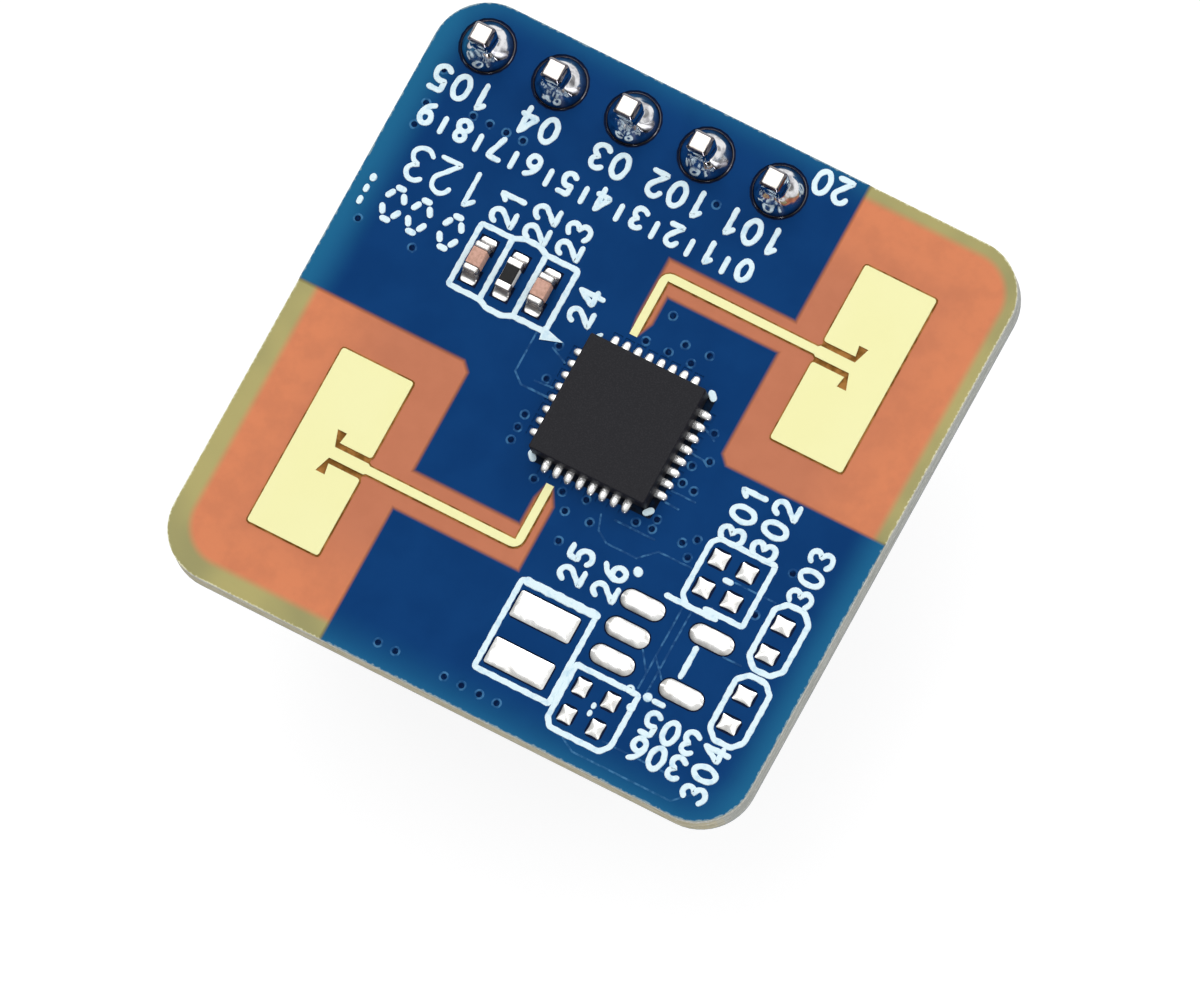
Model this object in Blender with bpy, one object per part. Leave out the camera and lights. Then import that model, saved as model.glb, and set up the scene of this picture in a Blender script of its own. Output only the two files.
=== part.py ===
"""Square microwave radar sensor module with a five pin header on its back.

X runs along the header's row, Y points from the middle of the board to the edge that
carries the header, and Z points out of the component face. The origin lies under the
middle of the board, level with the tips of the header's pins. Sizes are millimetres,
and MM turns them to metres as each mesh is finished.
"""

import math

import bmesh
import bpy
from mathutils import Matrix, Vector

MM = 0.001

# Clearances
FIT = 0.01
MASK_CLEARANCE = 0.05
CUT_OVERSHOOT = 0.2

# Fineness of round outlines and hollow slopes
BOARD_CORNER_STEPS = 12
HOLE_SIDES = 16
SMALL_CORNER_STEPS = 2
ROUND_END_STEPS = 4
SMOOTH_BELOW = 35.0
FILLET_STEPS = 3
FILLET_CURVE = 2.4

# Board
BOARD_X = 20.0
BOARD_Y = 20.0
BOARD_CORNER_R = 1.75
CORE_T = 0.72
FRONT_LAMINATE_T = 0.18
MASK_T = 0.03
PLANE_T = 0.035
PLANE_PULLBACK = 0.5
PLANE_HOLE_MARGIN = 0.45

# Patch antennas, alike and turned half round to each other
COPPER_T = 0.045
PATCH_X = 2.475
PATCH_Y = 6.07
PATCH_CORNER_R = 0.08
PATCH_SIDE_MARGIN = 2.26
PATCH_END_MARGIN = 2.245
INSET_DEPTH = 1.18
INSET_LINE_W = 0.37
INSET_SLOT_W = 0.175
FLAG_LENGTH = 0.355
FLAG_BASE_W = 0.075
FLAG_BACK_REACH = 0.135
FLAG_FRONT_REACH = 0.185
FEED_W = 0.26
FEED_STEP_L = 0.07
FEED_BEND_R = 0.34
FEED_END_GAP = 0.2

# Windows in the front mask round the antennas and their feeds
WINDOW_SIDE = 1.25
WINDOW_END = 1.4
WINDOW_SHIFT_X = 0.13
WINDOW_SHIFT_Y = -0.03
WINDOW_CHAMFER = 0.32
UPPER_LANE_W = 1.22
LOWER_LANE_W = 1.43
UPPER_DROP_W = 0.65
LOWER_DROP_W = 0.8
DROP_SHIFT = 0.085
DROP_TAPER_L = 0.55

# Radar chip, a leadless square package
CHIP_X = 1.0
CHIP_Y = 0.0
CHIP_SIDE = 4.0
CHIP_H = 0.8
CHIP_EDGE = 0.03
CHIP_STANDOFF = 0.06
CHIP_LEADS_PER_SIDE = 8
LEAD_PITCH = 0.4
LEAD_W = 0.22
LEAD_REACH = 0.42
LEAD_UNDER = 0.36
LEAD_TIP_T = 0.045
LEAD_FILLET_H = 0.24
LEAD_ROOT = 0.12
LEAD_FACE = 0.02
THERMAL_PAD_SIDE = 2.6
FEED_LEAD = 1

# Header, soldered in from the back
PIN_COUNT = 5
PIN_PITCH = 2.54
PIN_W = 0.64
PIN_TIP_W = 0.3
PIN_TIP_L = 0.5
PIN_TOP_W = 0.5
PIN_TOP_L = 0.1
PIN_MATE_L = 6.0
PIN_STAND = 1.5
PIN_ROW_EDGE = 1.41
PIN_ROW_SIDE = 1.64
HOUSING_H = 2.54
HOUSING_W = 2.5
HOUSING_NOTCH = 0.42
HOUSING_HOLE_CLEARANCE = 0.02
HOUSING_FOOT_H = 0.3
HOUSING_CHANNEL_W = 1.1
HOLE_CLEARANCE = 0.06
SOLDER_RING_W = 0.35
SOLDER_RIM_T = 0.04
SOLDER_SKIN = 0.06
SOLDER_H = 1.22
SOLDER_CURVE = 1.8
SOLDER_SIDES = 20
SOLDER_LEVELS = 5

# Chip resistors and capacitors
PASSIVE_L = 1.0
PASSIVE_W = 0.5
RESISTOR_H = 0.35
CAPACITOR_H = 0.5
PASSIVE_BAND = 0.23
PASSIVE_BAND_T = 0.012
PASSIVE_EDGE = 0.035
PASSIVE_LAND_W = 0.53
PASSIVE_LAND_REACH = 0.27
PASSIVE_LAND_UNDER = 0.2
PASSIVE_LAND_T = 0.045
PASSIVE_FILLET_SHARE = 0.55
PASSIVE_FACE = 0.03
PASSIVE_ROOT = 0.07
FRONT_PASSIVE_PITCH = 1.115
FRONT_PASSIVE_X = 6.35
FRONT_PASSIVE_Y = 2.555
BACK_PASSIVE_PITCH = 1.2
BACK_PASSIVE_ROWS = 2
BACK_PASSIVE_COLUMNS = 4
BACK_PASSIVE_ROW_GAP = 2.2
BACK_PASSIVE_DROP = 3.4

# Bare tinned lands, placed from the right and lower edges of the board
LAND_T = 0.075
LAND_RIM_T = 0.035
LAND_EDGE = 0.06
LAND_CORNER_R = 0.07
COIL_LAND_W = 2.05
COIL_LAND_H = 0.87
COIL_LAND_PITCH = 1.62
COIL_RIGHT = 8.15
COIL_UP = 2.88
CONVERTER_LAND_W = 1.455
CONVERTER_LAND_H = 0.62
CONVERTER_LAND_PITCH = 0.96
CONVERTER_ROW_GAP = 2.395
CONVERTER_RIGHT = 4.475
CONVERTER_UP = 4.395
FILTER_LAND_W = 0.57
FILTER_LAND_H = 0.54
FILTER_PITCH_X = 0.97
FILTER_PITCH_Y = 1.0
FILTER_RIGHT = 3.795
FILTER_UP = 7.155
LOAD_LAND_W = 0.65
LOAD_LAND_H = 0.5
LOAD_PITCH = 1.0
LOAD_PAIR_PITCH = 2.43
LOAD_RIGHT = 1.55
LOAD_UP = 4.985
SENSE_LAND_W = 0.48
SENSE_LAND_H = 0.54
SENSE_PITCH_X = 1.0
SENSE_PITCH_Y = 0.95
SENSE_RIGHT = 5.59
SENSE_UP = 1.795

# Clock crystal and voltage regulator on the back
CRYSTAL_X = 3.2
CRYSTAL_Y = 2.5
CRYSTAL_BASE_H = 0.45
CRYSTAL_LID_H = 0.22
CRYSTAL_LID_MARGIN = 0.14
CRYSTAL_CORNER_R = 0.2
CRYSTAL_EDGE = 0.05
CRYSTAL_LEFT = 4.2
CRYSTAL_UP = 9.6
REGULATOR_X = 2.9
REGULATOR_Y = 1.6
REGULATOR_H = 1.05
REGULATOR_DRAFT = 0.1
REGULATOR_STANDOFF = 0.08
REGULATOR_SPLIT_H = 0.62
REGULATOR_LEAD_PITCH = 0.95
REGULATOR_LEAD_W = 0.4
REGULATOR_LEAD_T = 0.15
REGULATOR_LEAD_REACH = 0.6
REGULATOR_FOOT_L = 0.32
REGULATOR_SHOULDER_L = 0.12
REGULATOR_LEFT = 4.0
REGULATOR_DOWN = 9.0

# Heights, worked out from the tips of the header's pins upwards
Z_HOUSING_TOP = PIN_MATE_L + HOUSING_H
Z_BACK_MASK = Z_HOUSING_TOP + FIT
Z_BACK = Z_BACK_MASK + MASK_T + FIT
Z_CORE_TOP = Z_BACK + CORE_T
Z_LAMINATE = Z_CORE_TOP + FIT
Z_FRONT = Z_LAMINATE + FRONT_LAMINATE_T
Z_FRONT_SEAT = Z_FRONT + FIT
Z_BACK_SEAT = Z_BACK - FIT

# Edges of the board and places that several pieces share
RIGHT = BOARD_X / 2
TOP = BOARD_Y / 2
HOLE_R = PIN_W / math.sqrt(2) + HOLE_CLEARANCE
SOLDER_R = HOLE_R + SOLDER_RING_W
PIN_Y = TOP - PIN_ROW_EDGE
FEED_X = CHIP_X + (FEED_LEAD - (CHIP_LEADS_PER_SIDE - 1) / 2) * LEAD_PITCH


# Materials


def make_material(name, rgb, roughness, metallic):
    """Plain surface with a colour, a roughness and a metallic value."""
    material = bpy.data.materials.new(name)
    material.use_nodes = True
    shader = material.node_tree.nodes["Principled BSDF"]
    shader.inputs["Base Color"].default_value = (*rgb, 1.0)
    shader.inputs["Roughness"].default_value = roughness
    shader.inputs["Metallic"].default_value = metallic
    return material


def make_materials():
    """One material for each finish of the module."""
    return {
        "laminate": make_material("woven_glass_laminate", (0.45, 0.39, 0.17), 0.6, 0.0),
        "face": make_material("laminate_over_copper", (0.62, 0.24, 0.12), 0.5, 0.0),
        "copper": make_material("inner_copper", (0.70, 0.33, 0.20), 0.4, 1.0),
        "mask": make_material("blue_solder_mask", (0.006, 0.05, 0.17), 0.35, 0.0),
        "gold": make_material("gold_plated_copper", (0.93, 0.88, 0.42), 0.3, 0.6),
        "mould": make_material("black_epoxy_package", (0.02, 0.02, 0.025), 0.55, 0.0),
        "plastic": make_material("black_header_nylon", (0.015, 0.015, 0.015), 0.5, 0.0),
        "tin": make_material("tinned_pad", (0.85, 0.85, 0.83), 0.25, 1.0),
        "solder": make_material("shiny_solder", (0.60, 0.60, 0.62), 0.15, 1.0),
        "pin": make_material("tinned_brass_pin", (0.80, 0.79, 0.76), 0.3, 1.0),
        "capacitor": make_material("tan_ceramic", (0.62, 0.33, 0.24), 0.6, 0.0),
        "resistor": make_material("black_resistor_glaze", (0.02, 0.02, 0.02), 0.4, 0.0),
        "crystal": make_material("nickel_plated_lid", (0.66, 0.62, 0.52), 0.3, 1.0),
    }


# Outlines in the board's plane, all counter-clockwise


def rectangle(cx, cy, width, height):
    """Four corners of a rectangle about a centre."""
    return [
        (cx - width / 2, cy - height / 2),
        (cx + width / 2, cy - height / 2),
        (cx + width / 2, cy + height / 2),
        (cx - width / 2, cy + height / 2),
    ]


def rounded_rectangle(cx, cy, width, height, radius, steps):
    """Rectangle with a quarter circle of some steps at each corner."""
    points = []
    for sx, sy, start in ((1, -1, -90), (1, 1, 0), (-1, 1, 90), (-1, -1, 180)):
        corner_x = cx + sx * (width / 2 - radius)
        corner_y = cy + sy * (height / 2 - radius)
        for step in range(steps + 1):
            angle = math.radians(start + 90 * step / steps)
            point = (corner_x + radius * math.cos(angle), corner_y + radius * math.sin(angle))
            if not points or math.dist(points[-1], point) > FIT / 10:
                points.append(point)
    if math.dist(points[0], points[-1]) < FIT / 10:
        points.pop()
    return points


def circle(cx, cy, radius, sides):
    """Regular outline round a centre."""
    angles = [2 * math.pi * side / sides for side in range(sides)]
    return [(cx + radius * math.cos(a), cy + radius * math.sin(a)) for a in angles]


def arc(cx, cy, radius, start, stop, steps):
    """Points of an arc from one angle in degrees to another."""
    angles = [math.radians(start + (stop - start) * k / steps) for k in range(steps + 1)]
    return [(cx + radius * math.cos(a), cy + radius * math.sin(a)) for a in angles]


# Solids


def add_prism(bm, outline, low, high):
    """Closed prism over an outline, from one height to another."""
    bottom = [bm.verts.new((x, y, low)) for x, y in outline]
    top = [bm.verts.new((x, y, high)) for x, y in outline]
    bm.faces.new(bottom[::-1])
    bm.faces.new(top)
    for i, corner in enumerate(bottom):
        j = (i + 1) % len(bottom)
        bm.faces.new((corner, bottom[j], top[j], top[i]))


def add_loft(bm, rings):
    """Closed skin over rings of equal length, each a list of points, first to last."""
    rows = [[bm.verts.new(point) for point in ring] for ring in rings]
    for lower, upper in zip(rows, rows[1:]):
        for i, corner in enumerate(lower):
            j = (i + 1) % len(lower)
            bm.faces.new((corner, lower[j], upper[j], upper[i]))
    bm.faces.new(rows[0][::-1])
    bm.faces.new(rows[-1])


def at_height(outline, height):
    """Outline lifted to a height."""
    return [(x, y, height) for x, y in outline]


def add_profile_bar(bm, profile, turn, offset, width):
    """Bar with a profile of reach and height, which points along an angle.

    The profile is drawn clockwise seen from the bar's left, the bar is centred at an
    offset to the left of its direction, and its width runs across that direction.
    """
    along = (math.cos(turn), math.sin(turn))
    across = (-math.sin(turn), math.cos(turn))
    sides = []
    for side in (-0.5, 0.5):
        shift = offset + side * width
        sides.append([
            (reach * along[0] + shift * across[0], reach * along[1] + shift * across[1], height)
            for reach, height in profile
        ])
    add_loft(bm, sides)


def fillet(start, end, high, low):
    """Hollow slope of solder between two reaches, steep at its top and level at its foot."""
    shares = [k / FILLET_STEPS for k in range(FILLET_STEPS + 1)]
    return [(start + (end - start) * t, low + (high - low) * (1 - t) ** FILLET_CURVE)
            for t in shares]


def bent_strip(path, thickness):
    """Profile of a strip of metal about its middle line, mitred at each bend."""
    line = [Vector(point) for point in path]
    normals = [(b - a).orthogonal().normalized() for a, b in zip(line, line[1:])]
    before = [normals[0], *normals]
    after = [*normals, normals[-1]]
    shifts = [(n + m) * thickness / 2 / (1 + n.dot(m)) for n, m in zip(before, after)]
    upper = [point + shift for point, shift in zip(line, shifts)]
    lower = [point - shift for point, shift in zip(line, shifts)]
    return [(point.x, point.y) for point in upper + lower[::-1]]


def mesh_from(name, bm):
    """Finish a mesh: faces outwards, millimetres turned to metres."""
    bmesh.ops.recalc_face_normals(bm, faces=bm.faces)
    bm.transform(Matrix.Scale(MM, 4))
    mesh = bpy.data.meshes.new(name)
    bm.to_mesh(mesh)
    bm.free()
    return mesh


def place(name, mesh, material, x=0.0, y=0.0, z=0.0, turn=0.0, flip=False):
    """Put a mesh into the scene as a named piece, flipped over for the board's back."""
    if not mesh.materials:
        mesh.materials.append(material)
    piece = bpy.data.objects.new(name, mesh)
    piece.location = (x * MM, y * MM, z * MM)
    piece.rotation_euler = (math.pi if flip else 0.0, 0.0, turn)
    bpy.context.scene.collection.objects.link(piece)
    return piece


def combined(name, base, tool, operation, tool_overlaps=False):
    """New mesh from two meshes, by an exact union or difference.

    A tool whose own parts may run into each other is first resolved with itself.
    """
    scene = bpy.context.scene
    base_piece = bpy.data.objects.new(name + "_base", base)
    tool_piece = bpy.data.objects.new(name + "_tool", tool)
    scene.collection.objects.link(base_piece)
    scene.collection.objects.link(tool_piece)
    modifier = base_piece.modifiers.new("cut", "BOOLEAN")
    modifier.operation = operation
    modifier.solver = "EXACT"
    modifier.use_self = tool_overlaps
    modifier.object = tool_piece
    bpy.context.view_layer.update()
    graph = bpy.context.evaluated_depsgraph_get()
    mesh = bpy.data.meshes.new_from_object(base_piece.evaluated_get(graph))
    mesh.name = name
    mesh.materials.clear()
    bpy.data.objects.remove(base_piece)
    bpy.data.objects.remove(tool_piece)
    return mesh


def shade_smooth(mesh):
    """Round surfaces smooth, sharper edges crisp."""
    mesh.shade_smooth()
    mesh.set_sharp_from_angle(angle=math.radians(SMOOTH_BELOW))


# Where things stand


def pin_places():
    """Centres of the header's holes, pin 1 at the right end of the row."""
    first = -RIGHT + PIN_ROW_SIDE + (PIN_COUNT - 1) * PIN_PITCH
    return [(first - k * PIN_PITCH, PIN_Y) for k in range(PIN_COUNT)]


def bare_lands():
    """Name, centre, width, height and corner radius of each tinned land."""
    lands = []

    def add(name, right, up, width, height, radius=LAND_CORNER_R):
        lands.append((name, RIGHT - right, up - TOP, width, height, radius))

    for k, side in enumerate((0.5, -0.5), 1):
        add(f"coil_land_{k}", COIL_RIGHT, COIL_UP + side * COIL_LAND_PITCH,
            COIL_LAND_W, COIL_LAND_H)
    converter = [(0.5, 1), (0.5, 0), (0.5, -1), (-0.5, -1), (-0.5, 1)]
    for k, (row, step) in enumerate(converter, 1):
        add(f"converter_land_{k}", CONVERTER_RIGHT + row * CONVERTER_ROW_GAP,
            CONVERTER_UP + step * CONVERTER_LAND_PITCH,
            CONVERTER_LAND_W, CONVERTER_LAND_H, CONVERTER_LAND_H / 2)
    corners = [(0.5, 0.5), (-0.5, 0.5), (0.5, -0.5), (-0.5, -0.5)]
    for k, (row, step) in enumerate(corners, 1):
        add(f"filter_land_{k}", FILTER_RIGHT + row * FILTER_PITCH_X,
            FILTER_UP + step * FILTER_PITCH_Y, FILTER_LAND_W, FILTER_LAND_H)
        add(f"sense_land_{k}", SENSE_RIGHT + row * SENSE_PITCH_X,
            SENSE_UP + step * SENSE_PITCH_Y, SENSE_LAND_W, SENSE_LAND_H)
        add(f"load_land_{k}", LOAD_RIGHT,
            LOAD_UP + row * LOAD_PAIR_PITCH + step * LOAD_PITCH, LOAD_LAND_W, LOAD_LAND_H)
    return lands


def front_passives():
    """Name, kind, centre and turn of each chip part on the front."""
    kinds = [("front_capacitor_1", "capacitor"), ("front_resistor_1", "resistor"),
             ("front_capacitor_2", "capacitor")]
    return [
        (name, kind, CHIP_X - FRONT_PASSIVE_X + k * FRONT_PASSIVE_PITCH,
         CHIP_Y + FRONT_PASSIVE_Y, math.pi / 2)
        for k, (name, kind) in enumerate(kinds)
    ]


def back_passives():
    """Name, kind, centre and turn of each chip part on the back, in two rows."""
    parts = []
    for row in range(BACK_PASSIVE_ROWS):
        kind = "capacitor" if row == 0 else "resistor"
        for column in range(BACK_PASSIVE_COLUMNS):
            middle = (BACK_PASSIVE_COLUMNS - 1) / 2
            x = CHIP_X + (column - middle) * BACK_PASSIVE_PITCH
            y = CHIP_Y - BACK_PASSIVE_DROP + (0.5 - row) * BACK_PASSIVE_ROW_GAP
            parts.append((f"back_{kind}_{column + 1}", kind, x, y, math.pi / 2))
    return parts


def passive_land_places():
    """Reach of the middle of a chip part's land from its centre, and its length."""
    length = PASSIVE_LAND_REACH + PASSIVE_LAND_UNDER
    return (PASSIVE_L / 2 + (PASSIVE_LAND_REACH - PASSIVE_LAND_UNDER) / 2, length)


def lead_offsets():
    """Places of the chip's leads along one side."""
    middle = (CHIP_LEADS_PER_SIDE - 1) / 2
    return [(k - middle) * LEAD_PITCH for k in range(CHIP_LEADS_PER_SIDE)]


def regulator_places():
    """Centre of the regulator and the side and offset of each of its leads."""
    sides = [(-1, -1), (-1, 0), (-1, 1), (1, 1), (1, -1)]
    centre = (RIGHT - REGULATOR_LEFT, TOP - REGULATOR_DOWN)
    return centre, [(side, step * REGULATOR_LEAD_PITCH) for side, step in sides]


def crystal_place():
    """Centre of the clock crystal."""
    return (CRYSTAL_LEFT - RIGHT, CRYSTAL_UP - TOP)


# Board layers


def board_outline(inset=0.0):
    """Outline of the board, drawn in by a margin all round."""
    return rounded_rectangle(0.0, 0.0, BOARD_X - 2 * inset, BOARD_Y - 2 * inset,
                             BOARD_CORNER_R - inset, BOARD_CORNER_STEPS)


def hole_cutter(name, radius, low, high):
    """Round cutter at each of the header's holes."""
    bm = bmesh.new()
    for x, y in pin_places():
        add_prism(bm, circle(x, y, radius, HOLE_SIDES), low, high)
    return mesh_from(name, bm)


def make_core(materials):
    """Core laminate, with a shallow bed on top for the inner copper plane."""
    bm = bmesh.new()
    add_prism(bm, board_outline(), Z_BACK, Z_CORE_TOP)
    core = mesh_from("core", bm)
    bed = bmesh.new()
    depth = PLANE_T + 2 * FIT
    add_prism(bed, board_outline(PLANE_PULLBACK - FIT), Z_CORE_TOP - depth,
              Z_CORE_TOP + CUT_OVERSHOOT)
    core = combined("core_with_bed", core, mesh_from("bed", bed), "DIFFERENCE")
    holes = hole_cutter("core_holes", HOLE_R, Z_BACK - CUT_OVERSHOOT,
                        Z_CORE_TOP + CUT_OVERSHOOT)
    core = combined("core_laminate", core, holes, "DIFFERENCE")
    place("core_laminate", core, materials["laminate"])


def make_ground_plane(materials):
    """Inner copper plane, drawn in from the board's edge, clear of the header's holes."""
    bm = bmesh.new()
    low = Z_CORE_TOP - PLANE_T - FIT
    add_prism(bm, board_outline(PLANE_PULLBACK), low, low + PLANE_T)
    holes = hole_cutter("plane_holes", HOLE_R + PLANE_HOLE_MARGIN, low - CUT_OVERSHOOT,
                        low + PLANE_T + CUT_OVERSHOOT)
    plane = combined("inner_ground_plane", mesh_from("plane", bm), holes, "DIFFERENCE")
    place("inner_ground_plane", plane, materials["copper"])


def make_front_laminate(materials):
    """Thin laminate between the antennas and the copper plane."""
    bm = bmesh.new()
    add_prism(bm, board_outline(), Z_LAMINATE, Z_FRONT)
    holes = hole_cutter("laminate_holes", HOLE_R, Z_LAMINATE - CUT_OVERSHOOT,
                        Z_FRONT + CUT_OVERSHOOT)
    sheet = combined("front_laminate", mesh_from("sheet", bm), holes, "DIFFERENCE")
    place("front_laminate", sheet, materials["face"])


# Antennas


class Antenna:
    """Place of one patch antenna, worked out from the board's edges and the chip.

    In its own plane u runs from the feed's side of the patch across it, v runs along
    it, and the feed leaves towards -u and then turns to -v, down to the chip's lead.
    """

    def __init__(self, name, sign, lane_width, drop_width):
        self.name = name
        self.sign = sign
        self.lane_width = lane_width
        self.drop_width = drop_width
        self.x = sign * (RIGHT - PATCH_SIDE_MARGIN - PATCH_X)
        self.y = sign * (TOP - PATCH_END_MARGIN - PATCH_Y / 2)
        self.run = abs(self.x - FEED_X)
        lead_end = CHIP_Y + sign * (CHIP_SIDE / 2 + LEAD_REACH)
        self.drop = abs(self.y - lead_end) - FEED_END_GAP

    def outline(self, points):
        """Turn (u, v) points into board places."""
        return [(self.x + self.sign * u, self.y + self.sign * v) for u, v in points]


def antennas():
    """The two antennas: upper right, and lower left turned half round."""
    return [
        Antenna("transmit_antenna", 1, UPPER_LANE_W, UPPER_DROP_W),
        Antenna("receive_antenna", -1, LOWER_LANE_W, LOWER_DROP_W),
    ]


def antenna_points(antenna):
    """Outline of the patch, its two flagged slots and the bent feed, in (u, v)."""
    half_line = INSET_LINE_W / 2
    half_feed = FEED_W / 2
    slot_top = half_line + INSET_SLOT_W
    flag_top = slot_top + FLAG_LENGTH
    edge = PATCH_Y / 2
    r = PATCH_CORNER_R
    bend_u = -antenna.run
    upper_slot = [
        (0.0, half_line),
        (INSET_DEPTH, half_line),
        (INSET_DEPTH + FLAG_FRONT_REACH, flag_top),
        (INSET_DEPTH - FLAG_BACK_REACH, flag_top),
        (INSET_DEPTH - FLAG_BASE_W, slot_top),
    ]
    lower_slot = [(u, -v) for u, v in upper_slot[::-1]]
    points = upper_slot
    points += arc(r, slot_top + r, r, 270, 180, SMALL_CORNER_STEPS)
    points += arc(r, edge - r, r, 180, 90, SMALL_CORNER_STEPS)
    points += arc(PATCH_X - r, edge - r, r, 90, 0, SMALL_CORNER_STEPS)
    points += arc(PATCH_X - r, r - edge, r, 0, -90, SMALL_CORNER_STEPS)
    points += arc(r, r - edge, r, 270, 180, SMALL_CORNER_STEPS)
    points += arc(r, -slot_top - r, r, 180, 90, SMALL_CORNER_STEPS)
    points += lower_slot
    points += [(-FEED_STEP_L, -half_feed), (bend_u + half_feed, -half_feed)]
    points += [(bend_u + half_feed, -antenna.drop), (bend_u - half_feed, -antenna.drop)]
    centre = (bend_u - half_feed + FEED_BEND_R, half_feed - FEED_BEND_R)
    points += arc(centre[0], centre[1], FEED_BEND_R, 180, 90, ROUND_END_STEPS)
    points += [(-FEED_STEP_L, half_feed)]
    return points[::-1]


def make_antenna(antenna, materials):
    """Gold plated copper patch with its feed, flat on the front laminate."""
    bm = bmesh.new()
    add_prism(bm, antenna.outline(antenna_points(antenna)), 0.0, COPPER_T)
    place(antenna.name, mesh_from(antenna.name, bm), materials["gold"], z=Z_FRONT_SEAT)


def window_outline(antenna):
    """Opening of the front mask round an antenna, its feed's lane and its drop."""
    sign = antenna.sign
    shift_u = sign * WINDOW_SHIFT_X
    shift_v = sign * WINDOW_SHIFT_Y
    left = shift_u - WINDOW_SIDE
    bottom = shift_v - PATCH_Y / 2 - WINDOW_END
    far_u = PATCH_X + PATCH_SIDE_MARGIN + CUT_OVERSHOOT
    far_v = PATCH_Y / 2 + PATCH_END_MARGIN + CUT_OVERSHOOT
    lane_low = shift_v - antenna.lane_width / 2
    lane_high = shift_v + antenna.lane_width / 2
    drop_left = sign * DROP_SHIFT - antenna.run - antenna.drop_width / 2
    drop_right = drop_left + antenna.drop_width
    end = -antenna.drop
    narrow = FEED_W / 2 + MASK_CLEARANCE / 2
    points = [
        (left + WINDOW_CHAMFER, bottom),
        (far_u, bottom),
        (far_u, far_v),
        (left, far_v),
        (left, lane_high),
        (drop_left, lane_high),
        (drop_left, end + DROP_TAPER_L),
        (-antenna.run - narrow, end),
        (-antenna.run + narrow, end),
        (drop_right, end + DROP_TAPER_L),
        (drop_right, lane_low),
        (left, lane_low),
        (left, bottom + WINDOW_CHAMFER),
    ]
    return antenna.outline(points)


# Masks


def opening(cx, cy, width, height):
    """Rectangular opening of a mask, clear of a land all round."""
    return rectangle(cx, cy, width + 2 * MASK_CLEARANCE, height + 2 * MASK_CLEARANCE)


def land_steps(radius):
    """Steps of a land's corner: few on a small corner, more on a round end."""
    return ROUND_END_STEPS if radius > LAND_CORNER_R else 1


def land_opening(cx, cy, width, height, radius):
    """Opening of a mask that follows a bare land's outline, clear of it all round."""
    return rounded_rectangle(cx, cy, width + 2 * MASK_CLEARANCE, height + 2 * MASK_CLEARANCE,
                             radius + MASK_CLEARANCE, land_steps(radius))


def passive_openings(parts):
    """Openings over the lands of chip parts that lie along Y."""
    reach, length = passive_land_places()
    return [
        opening(x, y + side * reach, PASSIVE_LAND_W, length)
        for name, kind, x, y, turn in parts
        for side in (-1, 1)
    ]


def chip_openings():
    """Openings over the chip's leads, and one over the pad under its middle."""
    reach = CHIP_SIDE / 2 + (LEAD_REACH - LEAD_UNDER) / 2
    length = LEAD_REACH + LEAD_UNDER
    outlines = [opening(CHIP_X, CHIP_Y, THERMAL_PAD_SIDE, THERMAL_PAD_SIDE)]
    margin = 2 * min(MASK_CLEARANCE, (LEAD_PITCH - LEAD_W) / 4)
    for offset in lead_offsets():
        for side in (-1, 1):
            outlines.append(rectangle(CHIP_X + side * reach, CHIP_Y + offset,
                                      length + margin, LEAD_W + margin))
            outlines.append(rectangle(CHIP_X + offset, CHIP_Y + side * reach,
                                      LEAD_W + margin, length + margin))
    return outlines


def back_openings():
    """Openings of the back mask over the lands of the parts there."""
    outlines = passive_openings(back_passives())
    x, y = crystal_place()
    outlines.append(opening(x, y, CRYSTAL_X, CRYSTAL_Y))
    (x, y), leads = regulator_places()
    reach = REGULATOR_Y / 2 + REGULATOR_LEAD_REACH - REGULATOR_FOOT_L / 2
    for side, offset in leads:
        outlines.append(opening(x + offset, y + side * reach,
                                REGULATOR_LEAD_W, REGULATOR_FOOT_L))
    return outlines


def make_mask(name, low, outlines, material):
    """Sheet of lacquer the size of the board, cut out over outlines and the header."""
    bm = bmesh.new()
    high = low + MASK_T
    add_prism(bm, board_outline(), low, high)
    tool = bmesh.new()
    for outline in outlines:
        add_prism(tool, outline, low - CUT_OVERSHOOT, high + CUT_OVERSHOOT)
    for x, y in pin_places():
        add_prism(tool, circle(x, y, SOLDER_R + MASK_CLEARANCE, SOLDER_SIDES),
                  low - CUT_OVERSHOOT, high + CUT_OVERSHOOT)
    sheet = combined(name, mesh_from(name + "_sheet", bm), mesh_from(name + "_cut", tool),
                     "DIFFERENCE", tool_overlaps=True)
    place(name, sheet, material)


def make_masks(materials):
    """Blue lacquer on both faces of the board."""
    outlines = [window_outline(antenna) for antenna in antennas()]
    outlines += [land_opening(x, y, w, h, radius) for name, x, y, w, h, radius in bare_lands()]
    outlines += passive_openings(front_passives())
    outlines += chip_openings()
    make_mask("front_solder_mask", Z_FRONT_SEAT, outlines, materials["mask"])
    make_mask("back_solder_mask", Z_BACK_MASK, back_openings(), materials["mask"])


# Radar chip


def lead_profile():
    """Reach and height of a lead with its land and the solder that climbs its end."""
    body = CHIP_SIDE / 2
    return [
        (body - LEAD_UNDER, 0.0),
        (body - LEAD_UNDER, CHIP_STANDOFF + LEAD_ROOT),
        (body - LEAD_ROOT, LEAD_FILLET_H),
        *fillet(body + LEAD_FACE, body + LEAD_REACH, LEAD_FILLET_H, LEAD_TIP_T),
        (body + LEAD_REACH, 0.0),
    ]


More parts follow.
